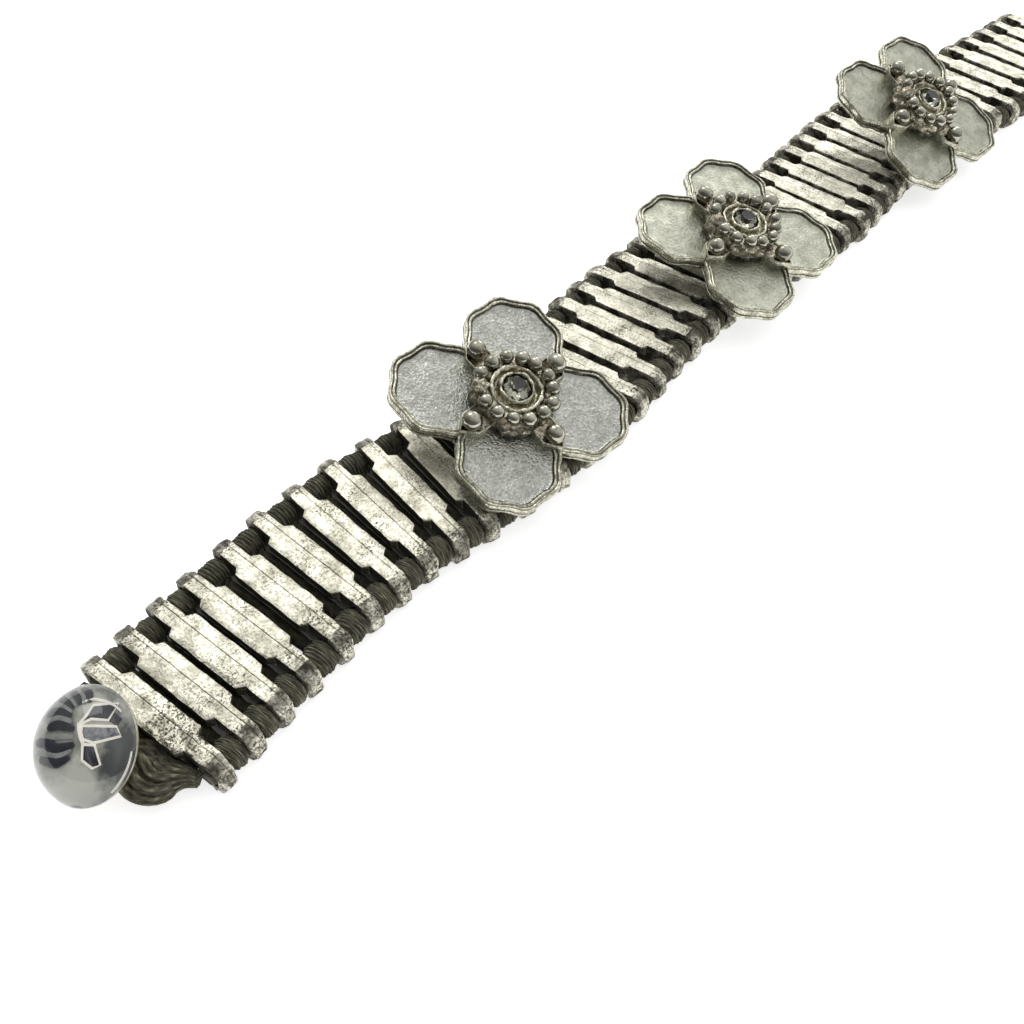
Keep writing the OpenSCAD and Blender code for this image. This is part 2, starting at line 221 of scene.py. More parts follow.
@dataclass(frozen=True)
class CastMetal(Finish):
    """Tin alloy cast in rubber moulds and plated silver, then darkened and rubbed bright.

    Attributes:
        bright: Colour of the rubbed plating.
        dull: Colour where the plating has clouded.
        pit: Colour of the casting pits.
        dark: Colour of the darkening left in recesses, and of the painted shade on side faces and
            undersides.
        patch_mm: Size of the clouded patches.
        pit_mm: Size of the pits.
        pitted: How much of the surface is pits, from 0 to 1.
        roughness: Roughness of the bright and of the dull parts.
        relief_mm: Depth of the pits.
        grit_mm: Size of the fine speckle that the mould leaves.
        gritty: How strongly the speckle darkens, from 0 to 1.
        grit_range: Values of its noise between which it sets in.
        grit_relief_mm: Depth of the speckle.
        line_at: Where the mould's parting line runs on the UV map, or None.
        line_half_mm: Half width of the line's core and of its soft edge.
        pit_edge: Value of the noise above which a sound surface is pitted.
        pit_spread: How far full wear lowers it.
        pit_wall: Range of the noise that a pit's wall takes.
        pit_shade: How far a pit takes the colour of pits.
        speckle_spread: Share of the speckle on a sound and on a worn surface.
        darkening_and_shade_roughness: Roughness that the darkening and painted shade add.
        darkened_and_shaded_metallic: How far the darkened and shaded surface is still metal.
    """

    bright: str = "#e0ddcc"
    dull: str = "#bcb9a7"
    pit: str = "#3f3c30"
    dark: str = "#39352b"
    patch_mm: float = 1.6
    pit_mm: float = 0.22
    pitted: float = 1.0
    roughness: tuple[float, float] = (0.34, 0.48)
    relief_mm: float = 0.05
    grit_mm: float = 0.24
    gritty: float = 0.62
    grit_range: tuple[float, float] = (0.47, 0.63)
    grit_relief_mm: float = 0.045
    line_at: float | None = None
    line_half_mm: tuple[float, float] = (0.02, 0.05)
    pit_edge: float = 0.73
    pit_spread: float = 0.17
    pit_wall: float = 0.05
    pit_shade: float = 0.85
    speckle_spread: tuple[float, float] = (0.5, 1.3)
    darkening_and_shade_roughness: float = 0.35
    darkened_and_shaded_metallic: float = 0.25

    def dress(self, tree: Tree, shader: bpy.types.NodeInputs) -> None:
        """Layers patches, pits, parting line, and darkening with painted shade."""
        place = in_millimetres(tree)
        patches = grain(tree, place, self.patch_mm)
        fine = grain(tree, place, self.pit_mm, 2.0)
        wear = painted(tree, "pitting")
        edge = reckoned(tree, "MULTIPLY_ADD", wear, -self.pit_spread * self.pitted, self.pit_edge)
        pits = ranged(tree, reckoned(tree, "SUBTRACT", fine, edge), 0.0, self.pit_wall, 0.0, self.pit_shade)
        grit = grain(tree, place, self.grit_mm, 2.0)
        colour = blended(tree, ranged(tree, patches, 0.4, 0.66), linear(self.bright), linear(self.dull))
        amount = ranged(tree, wear, 0.0, 1.0, *self.speckle_spread)
        speckle = reckoned(tree, "MULTIPLY", ranged(tree, grit, *self.grit_range, 0.0, self.gritty), amount)
        colour = blended(tree, speckle, colour, linear(self.pit))
        colour = blended(tree, pits, colour, linear(self.pit))
        if self.line_at is not None:
            colour = blended(tree, self.parting_line(tree, patches), colour, linear(self.pit))
        # The darkening is patina in recesses plus painted shade on side faces and undersides
        darkening_and_shade = self.darkening_and_shade(tree, patches)
        colour = blended(tree, darkening_and_shade, colour, linear(self.dark))
        tree.links.new(colour, shader["Base Color"])
        worn = ranged(tree, patches, 0.35, 0.7, *self.roughness)
        added = ranged(tree, darkening_and_shade, 0.0, 1.0, 0.0, self.darkening_and_shade_roughness)
        tree.links.new(reckoned(tree, "ADD", worn, added), shader["Roughness"])
        tree.links.new(ranged(tree, darkening_and_shade, 0.0, 1.0, 1.0, self.darkened_and_shaded_metallic), shader["Metallic"])
        height = reckoned(tree, "SUBTRACT", ranged(tree, patches, 0.0, 1.0), pits)
        pitted = raised(tree, height, self.relief_mm)
        tree.links.new(raised(tree, grit, self.grit_relief_mm, pitted), shader["Normal"])

    def parting_line(self, tree: Tree, patches: Output) -> Output:
        """Returns the share of the mould's parting line, fainter where it was rubbed."""
        across = add_node(tree, "ShaderNodeUVMap", uv_map="surface").outputs["UV"]
        across = add_node(tree, "ShaderNodeSeparateXYZ", {0: across}).outputs["X"]
        off = reckoned(tree, "ABSOLUTE", reckoned(tree, "SUBTRACT", across, self.line_at))
        line = ranged(tree, off, *self.line_half_mm, 0.95, 0.0)
        return reckoned(tree, "MULTIPLY", line, ranged(tree, patches, 0.35, 0.6, 0.3, 1.0))

    def darkening_and_shade(self, tree: Tree, patches: Output) -> Output:
        """Returns the share of the darkening and painted shade, uneven where it isn't complete."""
        patina_and_shade = painted(tree, "patina_and_shade")
        uneven = reckoned(tree, "ADD", patina_and_shade, ranged(tree, patches, 0.3, 0.7, -0.25, 0.25))
        return reckoned(tree, "MULTIPLY", ranged(tree, uneven, 0.3, 0.7), ranged(tree, patina_and_shade, 0.0, 0.2))


@dataclass(frozen=True)
class CordYarn(Finish):
    """Waxed cotton, spun and twisted: matt, with fine fibres along each strand.

    Attributes:
        deep: Colour between the fibres.
        middle: The yarn's own colour.
        light: Colour of the fibres that catch light.
        fibres: Number of fibres seen round a strand.
        fibre_run_mm: Length over which a fibre keeps its place.
        gloss: Strength of its highlight.
        tone_mm: Length over which the yarn's tone changes.
        fibre_mm: How far its fibres stand out.
        roughness: Its roughness.
    """

    deep: str = "#26241c"
    middle: str = "#686552"
    light: str = "#b0ac92"
    fibres: float = 9.0
    fibre_run_mm: float = 1.1
    gloss: float = 0.5
    tone_mm: float = 1.3
    fibre_mm: float = 0.09
    roughness: float = 0.85

    def dress(self, tree: Tree, shader: bpy.types.NodeInputs) -> None:
        """Runs thin light and dark fibres along the strand's UV map."""
        run = add_node(tree, "ShaderNodeUVMap", uv_map="surface").outputs["UV"]
        stretch = (self.fibres, 1 / self.fibre_run_mm, 1.0)
        along = add_node(tree, "ShaderNodeMapping", {"Vector": run, "Scale": stretch}).outputs["Vector"]
        fibre = add_node(tree, "ShaderNodeTexNoise", {"Vector": along, "Scale": 1.0, "Detail": 3.0})
        fibre = fibre.outputs["Fac"]
        tone = grain(tree, in_millimetres(tree), self.tone_mm, 2.0)
        colour = blended(tree, ranged(tree, fibre, 0.36, 0.56), linear(self.deep), linear(self.middle))
        colour = blended(tree, ranged(tree, fibre, 0.56, 0.72), colour, linear(self.light))
        colour = blended(tree, ranged(tree, tone, 0.35, 0.75, 0.0, 0.45), colour, linear(self.deep))
        tree.links.new(colour, shader["Base Color"])
        tree.links.new(raised(tree, fibre, self.fibre_mm), shader["Normal"])
        shader["Roughness"].default_value = self.roughness
        shader["Specular IOR Level"].default_value = self.gloss


@dataclass(frozen=True)
class Glass(Finish):
    """Pressed or cut clear glass, faintly grey, with thin smears of handling.

    Attributes:
        tint: Colour of the glass.
        ior: Index of refraction.
        smear_mm: Size of the smears.
        smear: Roughness of the clean and of the smeared parts.
    """

    tint: str = "#f2f4f3"
    ior: float = 1.5
    smear_mm: float = 2.5
    smear: tuple[float, float] = (0.0, 0.08)

    def dress(self, tree: Tree, shader: bpy.types.NodeInputs) -> None:
        """Sets the glass and roughens its smears."""
        smears = grain(tree, in_millimetres(tree), self.smear_mm)
        tree.links.new(ranged(tree, smears, 0.45, 0.75, *self.smear), shader["Roughness"])
        shader["Base Color"].default_value = linear(self.tint)
        shader["Transmission Weight"].default_value = 1.0
        shader["IOR"].default_value = self.ior


@dataclass(frozen=True)
class Foil(Finish):
    """Thin coloured foil or paint laid into the glass: soft gloss, uneven in tone.

    Attributes:
        tone: Main colour.
        shade: Colour of the thinner places.
        blotch_mm: Size of the uneven places.
        metallic: How far it is metal.
        roughness: Its roughness.
        glow: Painted glow: light that it gives of itself, beyond what reaches it through the glass.
    """

    tone: str = "#8d918e"
    shade: str = "#6d716f"
    blotch_mm: float = 1.8
    metallic: float = 0.0
    roughness: float = 0.35
    glow: float = 0.0

    def dress(self, tree: Tree, shader: bpy.types.NodeInputs) -> None:
        """Mottles the two colours."""
        mottle = grain(tree, in_millimetres(tree), self.blotch_mm)
        # The backing's painted shade and highlights are added to the mottle here
        mottle = reckoned(tree, "ADD", mottle, painted(tree, "depth"))
        colour = blended(tree, ranged(tree, mottle, 0.35, 0.7), linear(self.tone), linear(self.shade))
        tree.links.new(colour, shader["Base Color"])
        shader["Metallic"].default_value = self.metallic
        shader["Roughness"].default_value = self.roughness
        shader["Emission Color"].default_value = linear(self.tone)
        shader["Emission Strength"].default_value = self.glow


@dataclass(frozen=True)
class Table(Finish):
    """White card under even light.

    Attributes:
        tone: Its colour.
        glow: Light that it gives of itself, as a card lit from all sides does.
        roughness: Its roughness.
    """

    tone: str = "#f8f8f8"
    glow: float = 0.75
    roughness: float = 0.9

    def dress(self, tree: Tree, shader: bpy.types.NodeInputs) -> None:
        """Sets a plain matt white."""
        shader["Base Color"].default_value = linear(self.tone)
        shader["Roughness"].default_value = self.roughness
        shader["Emission Color"].default_value = linear(self.tone)
        shader["Emission Strength"].default_value = self.glow


# Cream-white satin with dark pits and a parting line; its side faces take painted shade, near black
BAR_METAL = CastMetal("antique_silver_plated_casting", line_at=0.3)
# Frosted grey with tiny glints, from plating over a sand-fine mould
PETAL_METAL = CastMetal(
    "frosted_silver_plated_casting", bright="#b9bab2", dull="#a5a69e", pit="#54554e", patch_mm=1.2,
    pitted=0.3, roughness=(0.12, 0.22), relief_mm=0.07,
    grit_mm=0.29, gritty=0.36, grit_range=(0.45, 0.62), grit_relief_mm=0.12,
)
# The frosting on the further flowers, painted a little lighter for the brighter light on them, and warmer,
# a soft olive cream
LIT_OLIVE_PETAL_METAL = CastMetal(
    "lit_olive_silver_plated_casting", bright="#bfc0b0", dull="#a5a696", pit="#6b6c60", patch_mm=1.6,
    pitted=0.2, roughness=(0.3, 0.42), relief_mm=0.02,
    grit_mm=0.3, gritty=0.35, grit_range=(0.45, 0.68), grit_relief_mm=0.08,
)
# Rubbed edges that catch the light
RIM_METAL = CastMetal(
    "rubbed_silver_plated_edge", bright="#e0deca", dull="#a8a692", pit="#4d4b40", patch_mm=0.9,
    pitted=0.6, roughness=(0.2, 0.4), relief_mm=0.05,
)
# Darkening left in the grooves, which also serves as painted shade under the flower: disc, post and petal
# undersides
GROOVE_AND_SHADE_METAL = CastMetal(
    "darkened_groove_and_painted_shade", bright="#7c7a6e", dull="#4c4a40", pit="#201e19", patch_mm=0.7,
    pitted=0.5, roughness=(0.4, 0.6), relief_mm=0.04,
)
# Smooth grey-olive balls with a sharp highlight
BEAD_METAL = CastMetal(
    "polished_silver_plated_bead", bright="#b9b7a8", dull="#878575", pit="#45433a", patch_mm=1.0,
    pitted=0.3, roughness=(0.1, 0.22), relief_mm=0.012, gritty=0.15, grit_relief_mm=0.006,
)
# Rough ground round the beads, with warm brown left in it
GROUND_METAL = CastMetal(
    "pitted_ground_of_casting", bright="#d2cdbb", dull="#93866e", pit="#2f2b23", patch_mm=0.6,
    pitted=1.2, roughness=(0.2, 0.45), relief_mm=0.1,
)
# Dark olive, with pale fibres standing out along the strands
CORD_YARN = CordYarn("waxed_cotton_cord")
# The same yarn painted almost black as shade, between the bars and in the bar's shadow by the button
SHADED_YARN = CordYarn(
    "waxed_cotton_cord_painted_shade", deep="#2a281f", middle="#454237", light="#555144", gloss=0.08,
)
# Clear, with thin smears that soften its highlights here and there
DOME_GLASS = Glass("pressed_clear_glass")
# Olive grey, dark in some facets and bright in others
CRYSTAL_GLASS = Glass("cut_crystal_glass", tint="#b2b1a0", ior=1.6, smear_mm=0.8, smear=(0.0, 0.05))
# Clouds of light and dark grey behind the glass, with painted highlights and shade laid in
BACKING_FOIL = Foil("grey_backing_foil", tone="#e6e6da", shade="#5a5e5c", blotch_mm=2.0, roughness=0.3)
# Smoke in the middle petal, streaked silver and slate
SMOKE_FOIL = Foil("smoky_silver_foil", tone="#c3c4c8", shade="#4d5060", blotch_mm=0.45)
# Pale bands between the strokes, a painted highlight on the raised crescents there
PALE_FOIL = Foil("pale_foil_band", tone="#b4b7b1", shade="#8d918c", blotch_mm=0.6)
# Deep slate blue, nearly even
SLATE_PAINT = Foil("slate_blue_enamel", tone="#1c1e2a", shade="#343646", blotch_mm=0.8)
# Warm white lines, the brightest thing under the glass, with a faint painted glow
SILVER_LINE = Foil(
    "silver_leaf_line", tone="#fffaf0", shade="#efe8d8", blotch_mm=0.6, roughness=0.3, glow=0.3,
)


# ---------------------------------------------------------------- mesh work


def stored(bm: Mesh, name: str) -> bpy.types.Mesh:
    """Writes a mesh to Blender's data and frees it."""
    data = bpy.data.meshes.new(name)
    bm.to_mesh(data)
    bm.free()
    return data


def fetched(data: bpy.types.Mesh) -> Mesh:
    """Returns a mesh from Blender's data, to be worked on."""
    bm = bmesh.new()
    bm.from_mesh(data)
    return bm


def linked(name: str, data: bpy.types.ID) -> bpy.types.Object:
    """Puts a new object in the scene."""
    made = bpy.data.objects.new(name, data)
    bpy.context.scene.collection.objects.link(made)
    return made


def turned_by(degrees: float, axis: str) -> Matrix:
    """Returns a turn about an axis."""
    return Matrix.Rotation(math.radians(degrees), 4, axis)


def finish_piece(bm: Mesh, name: str, finishes: Sequence[Finish], slot: Slot, *nodes: str) -> None:
    """Turns a mesh into a piece that rides on the bracelet.

    Args:
        bm: The mesh in millimetres. It is freed.
        name: The piece's name.
        finishes: Its finishes, in the order of its material numbers.
        slot: The record's slot of the piece. Not used.
        *nodes: The CAD nodes that it replaces.
    """
    bmesh.ops.scale(bm, vec=(MM, MM, MM), verts=bm.verts[:])
    for face in bm.faces:
        face.smooth = True
    mesh = stored(bm, name)
    for finish in finishes:
        mesh.materials.append(finish.material())
    piece = linked(name, mesh)
    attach(piece, BODY)
    if nodes:
        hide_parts(*nodes)
    log.info("%s: %d faces", name, len(mesh.polygons))


def verts_in(parts: Sequence) -> list[bmesh.types.BMVert]:
    """Picks the points out of what an operator made."""
    return [part for part in parts if isinstance(part, bmesh.types.BMVert)]


def edges_in(parts: Sequence) -> list[bmesh.types.BMEdge]:
    """Picks the edges out of what an operator made."""
    return [part for part in parts if isinstance(part, bmesh.types.BMEdge)]


def thicken(bm: Mesh, faces: Sequence[bmesh.types.BMFace], away: Sequence[float]) -> None:
    """Extrudes flat faces along a vector into a closed body."""
    made = bmesh.ops.extrude_face_region(bm, geom=faces)["geom"]
    bmesh.ops.translate(bm, vec=away, verts=verts_in(made))


def ease(bm: Mesh, verts: Sequence[bmesh.types.BMVert], passes: int) -> None:
    """Draws points halfway towards their neighbours, a number of times."""
    for _ in range(passes):
        bmesh.ops.smooth_vert(
            bm, verts=verts, factor=0.5, use_axis_x=True, use_axis_y=True, use_axis_z=True,
        )


def clamped(value: float) -> float:
    """Keeps a value between 0 and 1."""
    return min(max(value, 0.0), 1.0)


def join_in(bm: Mesh, other: Mesh, matrix: Matrix | None = None) -> None:
    """Adds a small mesh to a larger one.

    Args:
        bm: The larger mesh.
        other: The small one. It is freed.
        matrix: Where it goes, or None where it is there already.
    """
    if matrix:
        other.transform(matrix)
    carrier = stored(other, "carrier")
    bm.from_mesh(carrier)
    bpy.data.meshes.remove(carrier)


def pull(
    bm: Mesh, edges: list[bmesh.types.BMEdge], matrix: Matrix, skin: int = 0
) -> list[bmesh.types.BMEdge]:
    """Extrudes a loop of edges and carries the new loop away.

    Args:
        bm: The mesh.
        edges: The loop's edges.
        matrix: Where the copy goes, from where the loop is.
        skin: Material number of the new faces.

    Returns:
        The new loop's edges.
    """
    made = bmesh.ops.extrude_edge_only(bm, edges=edges)["geom"]
    verts = verts_in(made)
    fresh = set(verts)
    bmesh.ops.transform(bm, matrix=matrix, verts=verts)
    for face in {face for vert in verts for face in vert.link_faces}:
        face.material_index = skin
    return [edge for edge in edges_in(made) if set(edge.verts) <= fresh]


def loop_of(bm: Mesh, sides: int, matrix: Matrix) -> list[bmesh.types.BMEdge]:
    """Makes a ring of edges, a unit circle moved by a matrix, and returns them."""
    verts = bmesh.ops.create_circle(bm, segments=sides, radius=1, matrix=matrix)["verts"]
    return list({edge for vert in verts for edge in vert.link_edges})


def spun(profile: Sequence[tuple[float, ...]], steps: int) -> Mesh:
    """Turns a profile round the z axis.

    Args:
        profile: Radius and height of each point, and the material number of the stretch that
            leads to it where that isn't zero.
        steps: Number of steps in the turn.

    Returns:
        The closed mesh.
    """
    bm = bmesh.new()
    verts = [bm.verts.new((row[0], 0, row[1])) for row in profile]
    edges = [bm.edges.new(pair) for pair in zip(verts, verts[1:])]
    number = bm.faces.layers.int.new("row")
    for row, edge in enumerate(edges):
        bmesh.ops.spin(
            bm, geom=[edge, *edge.verts], cent=(0, 0, 0), axis=(0, 0, 1), dvec=(0, 0, 0),
            angle=FULL_TURN, steps=steps, use_merge=True, use_duplicate=False,
        )
        skin = int(profile[row + 1][2]) if len(profile[row + 1]) > 2 else 0
        for face in bm.faces:
            if face[number] == 0:
                face[number] = row + 1
                face.material_index = skin
    bmesh.ops.remove_doubles(bm, verts=bm.verts[:], dist=1e-4)
    bmesh.ops.recalc_face_normals(bm, faces=bm.faces[:])
    bm.faces.layers.int.remove(number)
    return bm


def frames_along(
    points: Sequence[Vector], halves: Sequence[tuple[float, float]], upright: bool = False
) -> list[Matrix]:
    """Sets a cross-section's frame at each point of a route.

    Args:
        points: The route.
        halves: Half width and half height at each point.
        upright: Whether the height stays as near upright as it can, or turns with the route.

    Returns:
        A matrix for each point that carries a unit circle there.
    """
    last = len(points) - 1
    normal = Vector((0, 0, 1))
    frames = []
    for i, point in enumerate(points):
        ahead = (points[min(i + 1, last)] - points[max(i - 1, 0)]).normalized()
        if upright:
            normal = Vector((0, 0, 1))
        elif i == 0 and abs(ahead.z) > 0.9:
            normal = Vector((1, 0, 0))
        normal = (normal - ahead * normal.dot(ahead)).normalized()
        side = normal.cross(ahead)
        wide, high = halves[i]
        turned = Matrix((side * wide, normal * high, ahead)).transposed().to_4x4()
        frames.append(Matrix.Translation(point) @ turned)
    return frames


def tube(frames: Sequence[Matrix], sides: int, skin: int = 0) -> Mesh:
    """Sweeps a round section along its frames, with a UV map that runs round and along it.

    Args:
        frames: The section's frames.
        sides: Number of sides.
        skin: Material number.

    Returns:
        The closed mesh, its UV map in turns round and millimetres along.
    """
    bm = bmesh.new()
    around = bm.verts.layers.float.new("around")
    along = bm.verts.layers.float.new("along")
    surface = bm.loops.layers.uv.new("surface")
    edges = loop_of(bm, sides, frames[0])
    start = edges
    back = frames[0].inverted()
    for vert in bm.verts:
        spot = back @ vert.co
        vert[around] = (math.atan2(spot.y, spot.x) / FULL_TURN) % 1.0
    run = 0.0
    for before, after in zip(frames, frames[1:]):
        run += (after.translation - before.translation).length
        edges = pull(bm, edges, after @ before.inverted(), skin)
        for vert in {vert for edge in edges for vert in edge.verts}:
            vert[along] = run
    for loop in (start, edges):
        bmesh.ops.edgeloop_fill(bm, edges=loop, mat_nr=skin)
    for face in bm.faces:
        turns = [loop.vert[around] for loop in face.loops]
        wraps = max(turns) - min(turns) > 0.5 and len(face.verts) == 4
        for loop, turn in zip(face.loops, turns):
            loop[surface].uv = (turn + (1.0 if wraps and turn < 0.5 else 0.0), loop.vert[along])
    bmesh.ops.recalc_face_normals(bm, faces=bm.faces[:])
    bm.verts.layers.float.remove(bm.verts.layers.float["around"])
    bm.verts.layers.float.remove(bm.verts.layers.float["along"])
    return bm


def round_halves(radius: float, count: int) -> list[tuple[float, float]]:
    """Returns the half widths and heights of a round section, one for each point."""
    return [(radius, radius)] * count


def smooth_route(rows: Sequence[Sequence[float]], steps: int) -> list[Vector]:
    """Adds points between a route's own, on a smooth curve through them.

    Args:
        rows: The route's points, of any number of columns.
        steps: Number of steps from one to the next.

    Returns:
        The finer route.
    """
    own = [Vector(row) for row in rows]
    last = len(own) - 1
    fine = []
    for i in range(last):
        a, b, c, d = (own[min(max(k, 0), last)] for k in (i - 1, i, i + 1, i + 2))
        for k in range(steps):
            t = k / steps
            bend, twist = 2 * a - 5 * b + 4 * c - d, 3 * b - a - 3 * c + d
            fine.append(0.5 * (2 * b + (c - a) * t + bend * t**2 + twist * t**3))
    return [*fine, own[last]]


def lay_strands(
    bm: Mesh, frames: Sequence[Matrix], count: int, out: float, radii: Sequence[float],
    turn_mm: float, sides: int = 8, seed: int = 0,
) -> None:
    """Twists strands round a route and adds them to a mesh.

    Args:
        bm: The mesh that gets them.
        frames: The route's frames, whose half widths set how far out the strands run.
        count: Number of strands.
        out: How far out their middles run, as a share of the half widths.
        radii: Radius of a strand at each frame.
        turn_mm: Length of route in which the strands make one turn.
        sides: Sides of each strand.
        seed: Seed of their small unevenness.
    """
    rng = random.Random(seed)
    tightest, loosest = 0.93, 1.05
    for strand in range(count):
        phase = FULL_TURN * strand / count
        loose = rng.uniform(tightest, loosest)
        run, points = 0.0, []
        for i, here in enumerate(frames):
            if i:
                run += (here.translation - frames[i - 1].translation).length
            angle = phase + FULL_TURN * run / turn_mm
            points.append(here @ Vector((out * loose * math.cos(angle), out * loose * math.sin(angle), 0)))
        halves = [(radius * loose, radius * loose) for radius in radii]
        join_in(bm, tube(frames_along(points, halves), sides))


def roughen(verts: Sequence[bmesh.types.BMVert], depth: float, grain_mm: float, seed: int) -> None:
    """Moves points in and out along their normals by a smooth noise.

    Args:
        verts: The points.
        depth: How far the noise moves them at most.
        grain_mm: Size of its bumps.
        seed: Number that picks a part of the noise.
    """
    away = Vector((seed * 7.13, seed * 3.71, seed * 5.39))
    for vert in verts:
        vert.co += vert.normal * depth * noise.noise(vert.co / grain_mm + away)


def cut_through(bm: Mesh, at: Sequence[float], facing: Sequence[float], trim: bool = False) -> None:
    """Cuts a mesh by a plane.

    Args:
        bm: The mesh.
        at: A point of the plane.
        facing: The plane's direction.
        trim: Whether what lies in front goes away and the cut is closed.
    """
    geom = bm.verts[:] + bm.edges[:] + bm.faces[:]
    cut = bmesh.ops.bisect_plane(bm, geom=geom, dist=1e-5, plane_co=at, plane_no=facing, clear_outer=trim)
    if trim:
        bmesh.ops.edgeloop_fill(bm, edges=edges_in(cut["geom_cut"]))


def combined(body: Mesh, tool: Mesh, operation: str) -> Mesh:
    """Joins a tool to a body or cuts it out.

    Args:
        body: The mesh that the tool works on. It is freed.
        tool: The other mesh. It is freed.
        operation: UNION or DIFFERENCE.

    Returns:
        The result.
    """
    holders = [linked("holder", stored(part, "holder")) for part in (body, tool)]
    modifier = holders[0].modifiers.new("combine", "BOOLEAN")
    modifier.operation = operation
    modifier.object = holders[1]
    modifier.solver = "EXACT"
    graph = bpy.context.evaluated_depsgraph_get()
    result = bpy.data.meshes.new_from_object(holders[0].evaluated_get(graph))
    bm = fetched(result)
    bpy.data.meshes.remove(result)
    for holder in holders:
        mesh = holder.data
        bpy.data.objects.remove(holder)
        bpy.data.meshes.remove(mesh)
    return bm


def soften(bm: Mesh, offset: float, segments: int, sharper_than: float = 0.6) -> None:
    """Rounds a mesh's sharp edges.

    Args:
        bm: The mesh.
        offset: Width of the rounding on each side.
        segments: Number of its steps.
        sharper_than: Turn between two faces, in radians, above which their edge is rounded.
    """
    edges = [edge for edge in bm.edges if edge.is_manifold and edge.calc_face_angle(0) > sharper_than]
    bmesh.ops.bevel(
        bm, geom=edges, offset=offset, offset_type="OFFSET", segments=segments, profile=0.5,
        affect="EDGES", clamp_overlap=True, material=-1,
    )


# ---------------------------------------------------------------- the strip and its bars


@dataclass
class Strip:
    """The row of bar places, as the bracelet lies.

    Attributes:
        lie: Bar place, distance along, offset across and turn in degrees, of the key bars.
        lug_w: Thickness of a bar's lugs.
        hole_y: Distance of a cord hole from the middle of its bar.
        cord_z: Height of the cord holes.
        centre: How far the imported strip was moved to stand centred.
    """

    lie: tuple[tuple[float, ...], ...] = (
        (1, 0, -1.8, 6), (4, 10.6, -0.3, 4.5), (6, 19, 0.8, 2), (8, 27.1, 1.1, -4.5),
        (10, 35.2, 0.1, -10), (12, 43.7, -0.4, -2), (15, 55.6, 0.1, 8.5), (17, 63.5, 1.3, 8),
        (19, 71.1, 2, 10), (21, 78.5, 1.9, 5), (22, 82.3, 1.6, 2), (24, 90, 0.8, -5),
        (27, 101, -0.3, 4), (31, 115.7, 1.1, 2), (33, 122.9, 1.3, -3), (36, 134, 0, -8),
        (38, 141.4, -1.5, -1), (40, 149.6, -1.9, -1), (42, 157.6, -2.7, -5), (44, 165.6, -3.4, -4),
    )
    lug_w: float = 1.65
    hole_y: float = 6.85
    cord_z: float = 1.9
    centre: Vector = field(init=False)

    def __post_init__(self) -> None:
        """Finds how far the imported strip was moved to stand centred."""
        low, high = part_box("bar_01")
        middle = (low + high) / 2 / MM
        first = self.lying(1)
        self.centre = Vector((first.x - middle.x, first.y - middle.y, 0))

    def lying(self, place: float) -> Vector:
        """Returns distance along, offset across and turn of a place, as three columns."""
        for low, high in zip(self.lie, self.lie[1:]):
            if place <= high[0]:
                break
        return Vector(low[1:]).lerp(Vector(high[1:]), (place - low[0]) / (high[0] - low[0]))

    def at(self, place: float) -> Vector:
        """Returns where a place is, in the frame."""
        here = self.lying(place)
        return Vector((here.x, here.y, 0)) - self.centre

    def turn(self, place: float) -> float:
        """Returns a place's turn in radians."""
        return math.radians(self.lying(place).z)

    def on(self, place: float) -> Matrix:
        """Returns the matrix that carries a bar's own frame to its place."""
        return Matrix.Translation(self.at(place)) @ Matrix.Rotation(self.turn(place), 4, "Z")


